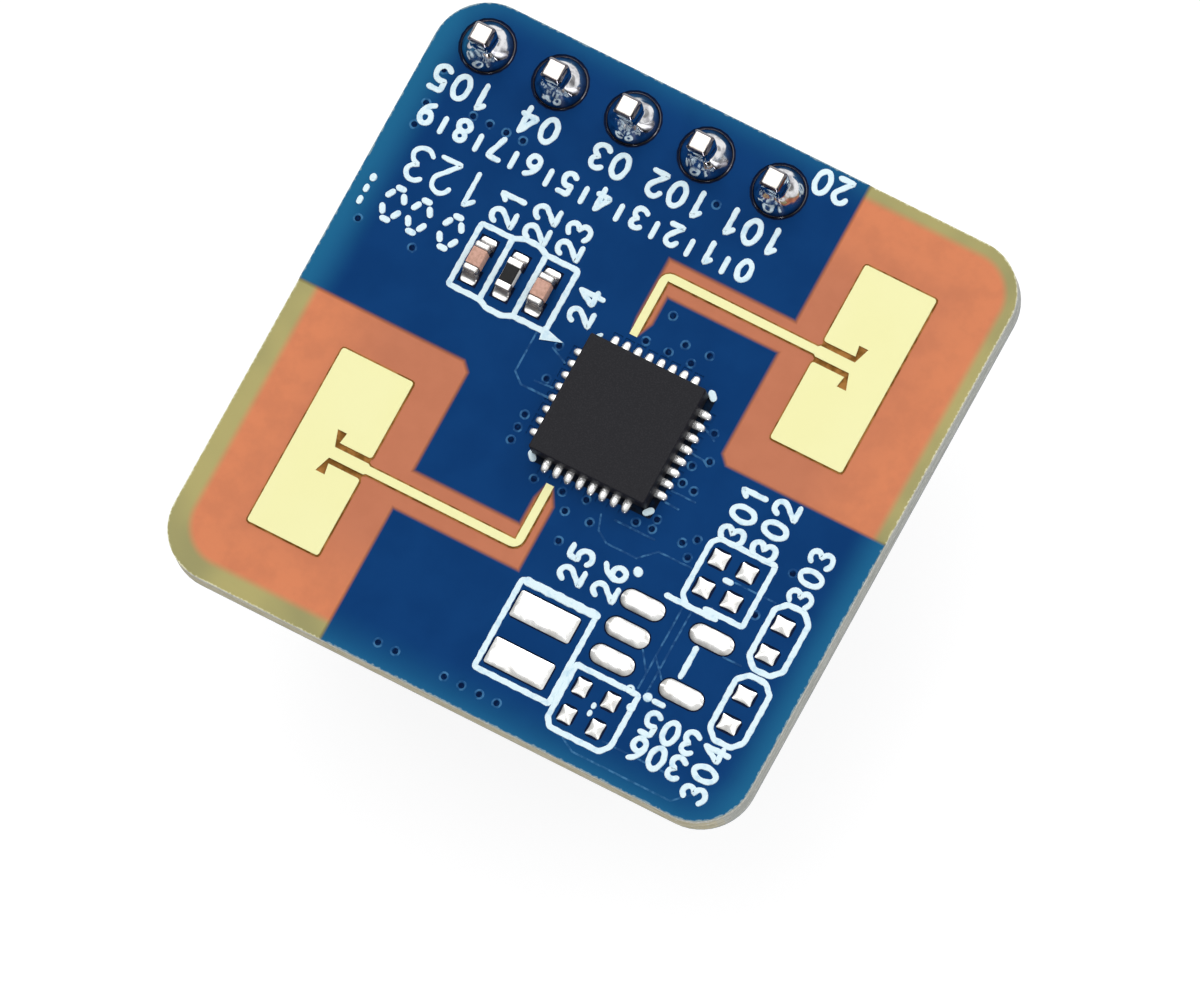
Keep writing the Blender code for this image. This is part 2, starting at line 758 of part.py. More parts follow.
def make_chip(materials):
    """Moulded package with its leads and the pad under its middle, as one piece."""
    bm = bmesh.new()
    half = CHIP_SIDE / 2
    low = CHIP_STANDOFF
    add_loft(bm, [
        at_height(rounded_rectangle(0, 0, 2 * half, 2 * half, CHIP_EDGE, 1), low),
        at_height(rounded_rectangle(0, 0, 2 * half, 2 * half, CHIP_EDGE, 1),
                  CHIP_H - CHIP_EDGE),
        at_height(rounded_rectangle(0, 0, 2 * (half - CHIP_EDGE), 2 * (half - CHIP_EDGE),
                                    CHIP_EDGE, 1), CHIP_H),
    ])
    body = mesh_from("chip_body", bm)
    leads = bmesh.new()
    for quarter in range(4):
        for offset in lead_offsets():
            add_profile_bar(leads, lead_profile(), quarter * math.pi / 2, offset, LEAD_W)
    add_prism(leads, rectangle(0, 0, THERMAL_PAD_SIDE, THERMAL_PAD_SIDE), 0.0,
              CHIP_STANDOFF + LEAD_ROOT)
    chip = combined("radar_chip", body, mesh_from("chip_leads", leads), "UNION")
    place("radar_chip", chip, materials["mould"], CHIP_X, CHIP_Y, Z_FRONT_SEAT)


# Header


def housing_outline():
    """Plan of the strip, one block for each pin, notched at 45 degrees between blocks."""
    lower = []
    for k in range(PIN_COUNT):
        left = (k - PIN_COUNT / 2) * PIN_PITCH
        right = left + PIN_PITCH
        lower.append((left, HOUSING_NOTCH - HOUSING_W / 2))
        lower.append((left + HOUSING_NOTCH, -HOUSING_W / 2))
        lower.append((right - HOUSING_NOTCH, -HOUSING_W / 2))
    lower.append((PIN_COUNT / 2 * PIN_PITCH, HOUSING_NOTCH - HOUSING_W / 2))
    return lower + [(-x, -y) for x, y in lower]


def make_housing(materials):
    """Plastic strip that holds the pins, with a channel where it meets the board."""
    bm = bmesh.new()
    add_prism(bm, housing_outline(), 0.0, HOUSING_H)
    tool = bmesh.new()
    hole = PIN_W + 2 * HOUSING_HOLE_CLEARANCE
    middle = (PIN_COUNT - 1) / 2
    for k in range(PIN_COUNT):
        add_prism(tool, rectangle((k - middle) * PIN_PITCH, 0, hole, hole),
                  -CUT_OVERSHOOT, HOUSING_H - HOUSING_FOOT_H / 2)
    housing = combined("housing_bored", mesh_from("housing_block", bm),
                       mesh_from("housing_holes", tool), "DIFFERENCE")
    channel = bmesh.new()
    length = PIN_COUNT * PIN_PITCH + 2 * CUT_OVERSHOOT
    add_prism(channel, rectangle(0, 0, length, HOUSING_CHANNEL_W),
              HOUSING_H - HOUSING_FOOT_H, HOUSING_H + CUT_OVERSHOOT)
    housing = combined("header_housing", housing, mesh_from("channel", channel), "DIFFERENCE")
    places = pin_places()
    x = (places[0][0] + places[-1][0]) / 2
    place("header_housing", housing, materials["plastic"], x, PIN_Y, PIN_MATE_L)


def square_ring(width, height):
    """Corners of a square about the axis, at a height."""
    return at_height(rectangle(0, 0, width, width), height)


def make_pins(materials):
    """Square pins with tapered tips, through the housing and the board."""
    top = Z_FRONT + PIN_STAND
    bm = bmesh.new()
    add_loft(bm, [
        square_ring(PIN_TIP_W, 0.0),
        square_ring(PIN_W, PIN_TIP_L),
        square_ring(PIN_W, top - PIN_TOP_L),
        square_ring(PIN_TOP_W, top),
    ])
    pin = mesh_from("header_pin", bm)
    for k, (x, y) in enumerate(pin_places(), 1):
        place(f"header_pin_{k}", pin, materials["pin"], x, y)


def solder_ring(half_width, squareness, height):
    """Section of the solder, from a circle at squareness 2 to nearly a square at 8."""
    points = []
    for side in range(SOLDER_SIDES):
        angle = 2 * math.pi * side / SOLDER_SIDES + math.pi / 4
        c = abs(math.cos(angle)) ** squareness
        s = abs(math.sin(angle)) ** squareness
        radius = half_width / (c + s) ** (1 / squareness)
        points.append((radius * math.cos(angle), radius * math.sin(angle), height))
    return points


def make_solder(materials):
    """Solder that fills each hole and climbs the pin in a hollow cone."""
    thickness = Z_FRONT - Z_BACK
    barrel = HOLE_R - FIT
    neck = PIN_W / 2 + FIT + SOLDER_SKIN
    rings = [
        solder_ring(barrel, 2, -thickness),
        solder_ring(barrel, 2, FIT),
        solder_ring(SOLDER_R, 2, FIT),
        solder_ring(SOLDER_R, 2, FIT + SOLDER_RIM_T),
    ]
    for level in range(1, SOLDER_LEVELS + 1):
        t = level / SOLDER_LEVELS
        half_width = neck + (SOLDER_R - neck) * (1 - t) ** SOLDER_CURVE
        height = FIT + SOLDER_RIM_T + t * (SOLDER_H - SOLDER_RIM_T)
        rings.append(solder_ring(half_width, 2 + 6 * t * t, height))
    bm = bmesh.new()
    add_loft(bm, rings)
    tool = bmesh.new()
    hole = PIN_W + 2 * FIT
    add_prism(tool, rectangle(0, 0, hole, hole), -thickness - CUT_OVERSHOOT,
              SOLDER_H + CUT_OVERSHOOT)
    cone = combined("header_solder", mesh_from("solder_cone", bm),
                    mesh_from("solder_hole", tool), "DIFFERENCE")
    shade_smooth(cone)
    for k, (x, y) in enumerate(pin_places(), 1):
        place(f"header_solder_{k}", cone, materials["solder"], x, y, Z_FRONT)


# Chip resistors and capacitors


def passive_section(inset, height, reach):
    """Rounded section of a chip part across its length, at a reach along it."""
    width = PASSIVE_W - 2 * inset
    tall = height - 2 * inset
    outline = rounded_rectangle(0, PASSIVE_LAND_T + height / 2, width, tall, PASSIVE_EDGE, 1)
    return [(reach, y, z) for y, z in outline]


def make_passive(kind, height):
    """Chip part along X on its two lands, with a solder fillet at each end."""
    half = PASSIVE_L / 2
    body = half - PASSIVE_BAND
    bm = bmesh.new()
    add_loft(bm, [
        passive_section(PASSIVE_EDGE, height, -half),
        passive_section(0.0, height, -half + PASSIVE_EDGE),
        passive_section(0.0, height, -body),
        passive_section(PASSIVE_BAND_T, height, -body),
        passive_section(PASSIVE_BAND_T, height, body),
        passive_section(0.0, height, body),
        passive_section(0.0, height, half - PASSIVE_EDGE),
        passive_section(PASSIVE_EDGE, height, half),
    ])
    climb = PASSIVE_LAND_T + height * PASSIVE_FILLET_SHARE
    end = half + PASSIVE_LAND_REACH
    profile = [
        (half - PASSIVE_LAND_UNDER, 0.0),
        (half - PASSIVE_LAND_UNDER, PASSIVE_LAND_T + PASSIVE_ROOT),
        (half - PASSIVE_ROOT, climb),
        *fillet(half + PASSIVE_FACE, end, climb, PASSIVE_LAND_T),
        (end, 0.0),
    ]
    lands = bmesh.new()
    for turn in (0.0, math.pi):
        add_profile_bar(lands, profile, turn, 0.0, PASSIVE_LAND_W)
    return combined(kind, mesh_from(kind + "_body", bm), mesh_from(kind + "_lands", lands),
                    "UNION")


def make_passives(materials):
    """Chip resistors and capacitors on both faces."""
    meshes = {
        "resistor": make_passive("resistor", RESISTOR_H),
        "capacitor": make_passive("capacitor", CAPACITOR_H),
    }
    for name, kind, x, y, turn in front_passives():
        place(name, meshes[kind], materials[kind], x, y, Z_FRONT_SEAT, turn)
    for name, kind, x, y, turn in back_passives():
        place(name, meshes[kind], materials[kind], x, y, Z_BACK_SEAT, turn, flip=True)


# Bare lands


def make_land(name, width, height, radius, material, x, y):
    """Tinned land with a level rim and a slightly domed top."""
    steps = land_steps(radius)
    outline = rounded_rectangle(0, 0, width, height, radius, steps)
    inner = rounded_rectangle(0, 0, width - 2 * LAND_EDGE, height - 2 * LAND_EDGE,
                              max(radius - LAND_EDGE, LAND_EDGE / 2), steps)
    bm = bmesh.new()
    add_loft(bm, [at_height(outline, 0.0), at_height(outline, LAND_RIM_T),
                  at_height(inner, LAND_T)])
    mesh = mesh_from(name, bm)
    shade_smooth(mesh)
    place(name, mesh, material, x, y, Z_FRONT_SEAT)


def make_lands(materials):
    """Every land that carries no part."""
    for name, x, y, width, height, radius in bare_lands():
        make_land(name, width, height, radius, materials["tin"], x, y)


# Crystal and regulator


def make_crystal(materials):
    """Ceramic tray with a metal lid."""
    def ring(inset, height):
        return at_height(rounded_rectangle(0, 0, CRYSTAL_X - 2 * inset, CRYSTAL_Y - 2 * inset,
                                           CRYSTAL_CORNER_R, SMALL_CORNER_STEPS), height)

    lid = CRYSTAL_LID_MARGIN
    top = CRYSTAL_BASE_H + CRYSTAL_LID_H
    bm = bmesh.new()
    add_loft(bm, [
        ring(0.0, 0.0),
        ring(0.0, CRYSTAL_BASE_H),
        ring(lid, CRYSTAL_BASE_H),
        ring(lid, top - CRYSTAL_EDGE),
        ring(lid + CRYSTAL_EDGE, top),
    ])
    x, y = crystal_place()
    place("clock_crystal", mesh_from("clock_crystal", bm), materials["crystal"], x, y,
          Z_BACK_SEAT, flip=True)


def make_regulator(materials):
    """Moulded package with draft above and below its leads, and five bent leads."""
    def ring(inset, height):
        return at_height(rectangle(0, 0, REGULATOR_X - 2 * inset, REGULATOR_Y - 2 * inset),
                         height)

    bm = bmesh.new()
    add_loft(bm, [
        ring(REGULATOR_DRAFT / 2, REGULATOR_STANDOFF),
        ring(0.0, REGULATOR_SPLIT_H),
        ring(REGULATOR_DRAFT, REGULATOR_STANDOFF + REGULATOR_H),
    ])
    body = mesh_from("regulator_body", bm)
    side = REGULATOR_Y / 2
    tip = side + REGULATOR_LEAD_REACH
    profile = bent_strip([
        (side - REGULATOR_LEAD_T, REGULATOR_SPLIT_H),
        (side + REGULATOR_SHOULDER_L, REGULATOR_SPLIT_H),
        (tip - REGULATOR_FOOT_L, REGULATOR_LEAD_T / 2),
        (tip, REGULATOR_LEAD_T / 2),
    ], REGULATOR_LEAD_T)
    (x, y), leads = regulator_places()
    bars = bmesh.new()
    for direction, offset in leads:
        turn = -direction * math.pi / 2
        add_profile_bar(bars, profile, turn, direction * offset, REGULATOR_LEAD_W)
    mesh = combined("voltage_regulator", body, mesh_from("regulator_leads", bars), "UNION")
    place("voltage_regulator", mesh, materials["mould"], x, y, Z_BACK_SEAT, flip=True)


def main():
    for existing in list(bpy.data.objects):
        bpy.data.objects.remove(existing)
    materials = make_materials()
    make_core(materials)
    make_ground_plane(materials)
    make_front_laminate(materials)
    make_masks(materials)
    for antenna in antennas():
        make_antenna(antenna, materials)
    make_chip(materials)
    make_housing(materials)
    make_pins(materials)
    make_solder(materials)
    make_passives(materials)
    make_lands(materials)
    make_crystal(materials)
    make_regulator(materials)


main()
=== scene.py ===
"""Finish of a square radar sensor module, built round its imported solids.

The board lies flat: x runs along the header's row, y points to the header's edge and z out
of the component face. Shapes are worked out in millimetres, and piece() turns them to metres.
"""

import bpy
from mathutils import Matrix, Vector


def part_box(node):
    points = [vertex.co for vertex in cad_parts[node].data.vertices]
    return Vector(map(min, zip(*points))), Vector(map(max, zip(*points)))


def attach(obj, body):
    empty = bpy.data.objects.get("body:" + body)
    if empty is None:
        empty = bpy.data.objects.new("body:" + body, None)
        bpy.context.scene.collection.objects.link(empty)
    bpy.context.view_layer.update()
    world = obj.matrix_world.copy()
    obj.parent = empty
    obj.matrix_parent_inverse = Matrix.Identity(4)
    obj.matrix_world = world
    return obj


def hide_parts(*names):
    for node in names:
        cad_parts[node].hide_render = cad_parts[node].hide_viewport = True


bl_info = {
    "name": "Radar sensor module finish",
    "version": (1, 0, 0),
    "blender": (4, 5, 0),
    "location": "3D View > Sidebar > Radar Module",
    "description": "Dresses the solids of a radar sensor module and sets its stage",
    "category": "Object",
}

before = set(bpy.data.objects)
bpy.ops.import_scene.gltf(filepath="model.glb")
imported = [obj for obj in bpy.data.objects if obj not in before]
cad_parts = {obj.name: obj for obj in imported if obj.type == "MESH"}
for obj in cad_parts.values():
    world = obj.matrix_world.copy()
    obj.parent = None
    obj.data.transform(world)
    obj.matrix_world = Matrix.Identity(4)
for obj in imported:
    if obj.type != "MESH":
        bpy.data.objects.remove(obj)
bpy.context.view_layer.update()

import math

import bpy
import numpy as np
from bpy.props import FloatProperty, FloatVectorProperty, PointerProperty
from mathutils import Matrix, Vector

MM = 0.001
TURN = 2 * math.pi
SMOOTH_BELOW = 40.0
SINK = 0.004
LAMP_DISTANCE = 1.3
FLOOR_HALF = 4.0
FLOOR_GLOW = 0.85


# Frame in millimetres


def box_mm(*nodes):
    """Lowest and highest corner, in mm, of the box round some nodes of the frame."""
    corners = np.array([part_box(name) for name in nodes]) / MM
    return corners[:, 0].min(axis=0), corners[:, 1].max(axis=0)


def plan_mm(name):
    """Half size and middle of a node in plan, and the height of its foot, in mm."""
    low, high = box_mm(name)
    return (high - low)[:2] / 2, (high + low)[:2] / 2, low[2]


def nodes_like(prefix):
    """Names of the frame's nodes that start alike."""
    return sorted(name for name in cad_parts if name.startswith(prefix))


BOARD_LOW, BOARD_HIGH = box_mm("core_laminate")
FACE = box_mm("front_laminate")[1][2]
MASK_TOP = box_mm("front_solder_mask")[1][2]
BACK_MASK_LOW = box_mm("back_solder_mask")[0][2]
SEAT = box_mm("radar_chip")[0][2]
PIN_TIP = box_mm("header_pin_1")[1][2]
LANDS = [name for name in sorted(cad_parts) if "_land_" in name]
BACK_PARTS = ["clock_crystal", "voltage_regulator", "header_housing",
              *nodes_like("back_capacitor_"), *nodes_like("back_resistor_")]

# Radar chip and its leads
CHIP_LEADS_PER_SIDE = 8
CHIP_STANDOFF = 0.06
CHIP_EDGE = 0.03
THERMAL_PAD = 2.6
LEAD_PITCH = 0.4
LEAD_REACH = 0.42
LEAD_UNDER = 0.1
LEAD_SHORT = 0.03
LEAD_WIDTH = 0.23
LEAD_CLIMB = 0.15
LEAD_TIP = 0.05
# Painted shadow round the chip's foot: its shift toward +x and -y, its lap under the body and its
# width
SHADOW_SHIFT = (0.14, -0.11)
SHADOW_LAP = 0.1
SHADOW_WIDTH = 0.3

# Header joints
PIN_WIDTH = 0.64
PIN_TOP_WIDTH = 0.5
PIN_TAPER = 0.1
BARREL_RADIUS = 0.5
PAD_RIM = 0.035
CONE_SIDES = 48
CONE_FOOT = 0.06
CONE_HEIGHT = 0.72
CONE_LEAN = 0.18
SOLDER_SKIN = 0.02

# Chip parts on their lands
PART_LENGTH = 1.0
PART_WIDTH = 0.5
CAPACITOR_EDGE = 0.08
RESISTOR_EDGE = 0.04
GLAZE_SPLIT = 0.7
GLAZE_INSET = 0.02
PART_CORNER = 0.02
BODY_EDGE = 0.015
BASE_EDGE = 0.01
FILLET_HOLLOW = 0.6
PART_BAND = 0.23
PART_BAND_T = 0.012
PART_UNDER = 0.06
PART_REACH = 0.27
PART_LAND_T = 0.045
PART_LAND_WIDTH = 0.53
PART_CLIMB = 0.62

# Crystal and regulator
CRYSTAL_TRAY = 0.45
CRYSTAL_MARGIN = 0.14
REGULATOR_REACH = 0.6
REGULATOR_SPLIT = 0.62
REGULATOR_PITCH = 0.95
REGULATOR_LEAD_W = 0.4

# Patch antenna: where the slots beside its feed lie
PATCH_WIDTH = 2.475
PATCH_LENGTH = 6.07
SLOT_REACH = 1.42
SLOT_HALF_WIDTH = 0.74

# Mask: the board's outline, and the gap and the strip of painted shade round a land
BOARD_CORNER = 1.75
OPENING_GAP = 0.05
WELL_LAP = 0.05
LAND_CORNER = 0.07
SMALL_LAND = 0.7
SMALL_LAND_PINCH = 0.13
HEM_LAP = 0.01
LOOP_JUMPS = 12

# Where along y the copper plane reaches nearer to the board's edge, and by how much
EDGE_ROWS = [(8.5, 9.8, 0.0, 0.35), (-9.8, -8.5, 0.42, 0.0)]

# Tented vias and the traces that lift the lacquer, from the middle of the board
VIA_SIDES = 14
HOLE_SIDES = 12
VIA_RIM = 0.17
VIA_RIM_PROFILE = [(0.1, -SINK), (0.098, 0.004), (0.12, 0.012), (0.14, 0.011), (0.16, 0.004),
                   (VIA_RIM, -SINK)]
VIA_HOLE_PROFILE = [(0.11, -SINK), (0.11, 0.002), (0.05, 0.003)]
VIAS = [
    (-9.21, 7.36), (-9.19, 6.19), (-9.19, 5.44), (0.29, 7.36), (-9.30, 2.07), (-7.37, 2.00),
    (-1.86, 1.32), (-1.71, 0.24), (0.79, 3.70), (1.57, 3.07), (2.40, 3.10), (3.69, 1.03),
    (3.99, 0.19), (3.57, -0.16), (3.57, -0.76), (4.00, -0.83), (4.83, -2.11), (4.46, -2.40),
    (4.83, -2.73), (7.93, -1.73), (7.53, -3.38), (-0.54, -2.68), (0.43, -2.64), (1.21, -2.54),
    (2.89, -2.47), (3.43, -2.44), (3.43, -2.11), (0.79, -3.14), (1.64, -3.11), (1.07, -4.04),
    (-2.31, -9.30), (-1.71, -9.30), (5.25, -7.12), (5.85, -7.10), (5.55, -7.61), (6.52, -7.95),
]
VIA_ROWS = [((-7.70, 6.47), (0.58, 0.0), 4), ((-1.76, -1.04), (0.0, -0.44), 3),
            ((0.43, 2.64), (0.785, 0.0), 3), ((0.0, -9.33), (0.61, 0.0), 4)]
TRACE_WIDTH = 0.07
TRACE_LIFT = 0.005
TRACES = [
    [(4.15, -9.37), (4.60, -9.62), (8.00, -9.62), (8.50, -9.17)],
    [(5.30, -8.92), (7.50, -8.92)], [(5.00, -5.87), (5.45, -6.47)], [(5.45, -5.87), (5.95, -6.42)],
    [(5.45, -4.17), (5.45, -6.97)], [(5.75, -4.17), (5.75, -6.97)], [(7.30, -4.97), (7.90, -4.97)],
    [(6.50, -2.77), (7.90, -2.77)],
    [(1.83, -2.74), (2.00, -3.20), (2.40, -3.45), (3.45, -3.45), (3.95, -2.97), (5.10, -2.97)],
    [(3.40, 1.03), (3.80, 0.83)], [(3.40, 0.18), (3.80, 0.15), (4.00, 0.03)],
    [(3.40, -1.12), (4.20, -1.12)], [(3.40, -1.52), (3.85, -1.54)], [(2.30, -2.70), (3.65, -2.70)],
    [(-2.00, 1.18), (-1.45, 0.93)], [(-2.00, 0.03), (-1.40, 0.08)], [(-2.00, -0.25), (-1.40, -0.25)],
    [(-2.68, 1.46), (-2.68, 0.03), (-2.33, -0.26), (-1.36, -0.26)],
]

# Screen print, from the middle of the board
FRAME_LINES = [
    [(-4.75, 3.64), (-5.83, 3.64), (-5.83, 1.505), (-4.75, 1.505)],
    [(-4.75, 1.505), (-4.75, 3.64)],
    [(-3.58, 1.505), (-3.58, 3.64)],
    [(-4.75, 3.64), (-4.42, 3.79), (-3.91, 3.79), (-3.58, 3.64)],
    [(-4.75, 1.505), (-4.42, 1.36), (-3.91, 1.36), (-3.58, 1.505)],
    [(-3.58, 3.64), (-2.47, 3.64), (-2.47, 1.505), (-3.58, 1.505)],
    [(6.43, -5.12), (6.43, -6.07)],
    [(6.10, -3.89), (7.36, -3.89), (7.36, -1.76), (5.45, -1.76), (5.235, -1.98), (5.235, -3.80),
     (5.43, -3.97)],
    [(4.85, -4.05), (6.50, -4.05)],
]
FRAME_LOOPS = [
    [(0.66, -8.63), (3.24, -8.63), (3.24, -5.575), (0.66, -5.575)],
    [(3.42, -7.17), (5.58, -7.17), (5.58, -8.95), (5.33, -9.25), (3.62, -9.25), (3.42, -9.00)],
    [(8.27, -2.64), (8.84, -2.64), (9.14, -2.94), (9.14, -4.57), (8.84, -4.87), (8.27, -4.87),
     (7.97, -4.57), (7.97, -2.94)],
    [(8.27, -5.10), (8.84, -5.10), (9.14, -5.40), (9.14, -7.05), (8.84, -7.35), (8.27, -7.35),
     (7.97, -7.05), (7.97, -5.40)],
]
COIL_FRAME_TOP = [(0.84, -5.575), (3.22, -5.575)]
COIL_FRAME_TOP_W = 0.29
POINTER = [(-2.575, 1.65), (-2.505, 1.22), (-1.80, 1.45)]
DASHES = [
    ((3.70, -3.80), (3.71, -3.81), 0.32), ((6.21, -2.835), (6.38, -2.835), 0.2),
    ((4.51, -8.05), (4.51, -8.09), 0.17), ((4.51, -8.31), (4.51, -8.35), 0.17),
    ((5.80, -7.12), (5.90, -7.12), 0.19), ((6.10, -7.12), (6.38, -7.12), 0.19),
    ((3.03, 2.09), (3.13, 1.99), 0.24), ((3.03, -2.06), (3.13, -1.96), 0.24),
    ((-0.98, -2.02), (-0.88, -2.12), 0.24), ((-0.95, 2.12), (-0.88, 2.19), 0.14),
    ((-9.50, 3.40), (-9.50, 3.42), 0.24), ((-9.53, 2.98), (-9.53, 3.06), 0.19),
    ((-9.53, 2.56), (-9.53, 2.66), 0.19),
]
DIGIT_WIDTH = 0.6
DIGIT_STEP = 0.92
NUMBERS = [
    ("105", (-8.45, 7.10), 180, 0.78), ("04", (-5.75, 7.10), 180, 0.78),
    ("03", (-3.275, 7.10), 180, 0.78), ("102", (-0.925, 7.10), 180, 0.78),
    ("101", (1.675, 7.10), 180, 0.78), ("20", (3.20, 9.43), 180, 0.75),
    ("21", (-5.35, 4.42), 90, 0.74), ("22", (-4.19, 4.42), 90, 0.74),
    ("23", (-3.05, 4.42), 90, 0.74), ("24", (-1.725, 2.73), 90, 0.72),
    ("25", (1.925, -4.47), 90, 0.74), ("26", (3.075, -4.47), 90, 0.74),
    ("301", (5.70, -0.79), 90, 0.76), ("302", (6.80, -0.79), 90, 0.76),
    ("303", (8.50, -1.62), 90, 0.74), ("304", (8.55, -8.42), 90, 0.74),
    ("305", (7.00, -7.77), 180, 0.72), ("306", (7.00, -8.65), 180, 0.72),
]
MARK = "123"
MARK_PLACE = (-7.54, 4.40)
MARK_HEIGHT = 1.08
MARK_PEN = 0.17
MARK_STEP = 0.86
SCALE_DIGITS = "0123456789"
SCALE_START = (2.05, 5.92)
SCALE_END_X = -9.0
SCALE_HEIGHT = 0.66
DOTTED_PLACES = [(-8.55, 2.95), (-7.65, 2.95), (-6.55, 2.95)]
DOTTED_COUNT = 6
DOTTED_RADII = np.array([0.27, 0.53])
DOT_LENGTH = 0.15
DOT_WIDTH = 0.21
INKED_VIAS = [(5.25, -7.12), (5.85, -7.10), (5.55, -7.61)]
INKED_VIA_PROFILE = [(0.065, 0.0), (0.075, 0.025), (0.135, 0.025), (0.15, -SINK)]
INK_STEP = 0.06
INK_RAGGED = 0.06
INK_LAYER = 0.0012


# Meshes


def skin(rings, loop=False):
    """Points and faces of closed skins over rings of points.

    The array runs over copies, rings, points of a ring, and x, y, z. Quads join each point
    to the next one in its ring and to its like in the next ring. A fan round the middle
    closes the first and the last ring, unless the rings form a loop. A copy whose signed
    volume, the sum of corner products over its triangles, is negative is turned round.
    """
    rings = np.asarray(rings, float)
    rings = rings.reshape(-1, *rings.shape[-3:])
    copies, count, around, _ = rings.shape
    here = np.arange(copies * count * around).reshape(copies, count, around)
    beside = np.roll(here, -1, axis=2)
    if loop:
        corners = (here, beside, np.roll(beside, -1, axis=1), np.roll(here, -1, axis=1))
    else:
        corners = (here[:, :-1], beside[:, :-1], beside[:, 1:], here[:, 1:])
    quads = np.stack(corners, axis=-1).reshape(copies, -1, 4)
    points = rings.reshape(-1, 3)
    parts = [quads]
    if not loop:
        hubs = len(points) + np.arange(2 * copies).reshape(copies, 2, 1)
        hubs = np.broadcast_to(hubs, (copies, 2, around))
        points = np.concatenate([points, rings[:, (0, -1)].mean(axis=2).reshape(-1, 3)])
        first = np.stack([beside[:, 0], here[:, 0], hubs[:, 0]], axis=-1)
        last = np.stack([here[:, -1], beside[:, -1], hubs[:, 1]], axis=-1)
        parts.append(np.concatenate([first, last], axis=1))
    triangles = np.concatenate([quads[..., :3], quads[..., (0, 2, 3)], *parts[1:]], axis=1)
    a, b, c = np.moveaxis(points[triangles], 2, 0)
    inside_out = np.einsum("cti,cti->c", a, np.cross(b, c)) < 0
    parts = [np.where(inside_out[:, None, None], part[..., ::-1], part) for part in parts]
    return points, [face for part in parts for face in part.reshape(-1, part.shape[-1]).tolist()]


def piece(name, skins, material, replaces=()):
    """One object made of closed skins, riding on the board with its finish, which hides the nodes it
    replaces.
    """
    starts = np.cumsum([0] + [len(points) for points, _ in skins])
    faces = [
        [corner + start for corner in face]
        for start, (_, some) in zip(starts.tolist(), skins)
        for face in some
    ]
    mesh = bpy.data.meshes.new(name)
    mesh.from_pydata(np.concatenate([points for points, _ in skins]) * MM, [], faces)
    mesh.shade_smooth()
    mesh.set_sharp_from_angle(angle=math.radians(SMOOTH_BELOW))
    mesh.materials.append(material)
    made = bpy.data.objects.new(name, mesh)
    bpy.context.scene.collection.objects.link(made)
    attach(made, "root")
    if replaces:
        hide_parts(*replaces)


def finish_nodes(prefix, material, edge=0.0):
    """Give nodes that start alike a material, and break their sharp edges by a bevel."""
    for name in nodes_like(prefix):
        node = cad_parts[name]
        node.data.materials.clear()
        node.data.materials.append(material)
        if edge:
            weld = node.modifiers.new("weld", "WELD")
            weld.merge_threshold = SINK * MM / 10
            bevel = node.modifiers.new("broken edges", "BEVEL")
            bevel.width = edge * MM
            bevel.segments = 2


# Places and outlines


def moved(points, shift):
    """Points shifted by two or three numbers."""
    return points + np.concatenate([shift, np.zeros(3 - len(shift))])


def spun(points, degrees):
    """Points turned about the z axis."""
    c, s = math.cos(math.radians(degrees)), math.sin(math.radians(degrees))
    return points @ np.array([[c, s, 0], [-s, c, 0], [0, 0, 1]])


def settled(points, at, front):
    """Points of a chip part drawn along x, turned to lie along y at its place, and turned
    over for the back."""
    points = spun(points, 90)
    if not front:
        points = points * (1, -1, -1)
    return moved(points, at)


def rounded(half_x, half_y, radius, steps=4):
    """Rounded rectangle: each quarter circle's points lie one radius from its corner's middle.

    Half sizes and radius may be columns, which gives one outline for each row.
    """
    quarter = np.linspace(0, TURN / 4, steps + 1)
    angle = (np.arange(4)[:, None] * TURN / 4 + quarter).ravel()
    side_x = np.repeat([1, -1, -1, 1], steps + 1)
    side_y = np.repeat([1, 1, -1, -1], steps + 1)
    x = side_x * (half_x - radius) + radius * np.cos(angle)
    y = side_y * (half_y - radius) + radius * np.sin(angle)
    return np.stack([x, y], axis=-1)


def lifted(outlines, heights):
    """Outlines, one for each height, as rings of points in space."""
    z = np.broadcast_to(np.asarray(heights, float)[:, None, None], (*outlines.shape[:2], 1))
    return np.concatenate([outlines, z], axis=-1)


def block(low, high, corner, edge, steps=3):
    """Rounded box: an upright rounded rectangle, drawn in at top and bottom along quarter
    circles of the edge's radius, with one more ring that keeps its flats evenly lit."""
    low, high = np.asarray(low, float), np.asarray(high, float)
    half = (high - low) / 2
    lean = np.concatenate([np.linspace(-TURN / 4, 0, steps + 1), np.linspace(0, TURN / 4, steps + 1)])
    lean = np.pad(lean, 1, mode="edge")
    side = np.repeat([-1, 1], steps + 2)
    inset = edge * (1 - np.cos(lean))
    inset[[0, -1]] = min(edge * 1.8, (edge + half[:2].min()) / 2)
    inset = inset[:, None]
    outlines = rounded(half[0] - inset, half[1] - inset, np.maximum(corner - inset, edge / 4))
    rings = lifted(outlines, side * (half[2] - edge) + edge * np.sin(lean))
    return skin(rings + (low + high) / 2)


def pinched(half, pinch, power=12, count=48):
    """Rectangle with slightly rounded corners whose sides bend in: a point lies where its
    direction meets a superellipse of the power, drawn in by the pinch times one less the
    square of its share of the way from the middle of a side to its corner."""
    angle = np.arange(count) * TURN / count
    c, s = np.cos(angle), np.sin(angle)
    reach = (np.abs(c) ** power + np.abs(s) ** power) ** (-1 / power)
    share = np.minimum(np.abs(c), np.abs(s)) / np.maximum(np.abs(c), np.abs(s))
    reach = reach * (1 - pinch * (1 - share ** 2))
    return np.stack([half[0] * reach * c, half[1] * reach * s], axis=-1)


def ring_strip(half_x, half_y, radius, width, low, high):
    """Flat frame round a rounded rectangle: four outlines, the inner and the outer one at
    each of two heights, which form the frame's section."""
    inner = rounded(half_x - width, half_y - width, max(radius - width, width / 4))
    outer = rounded(half_x, half_y, radius)
    return lifted(np.stack([inner, outer, outer, inner]), [low, low, high, high])


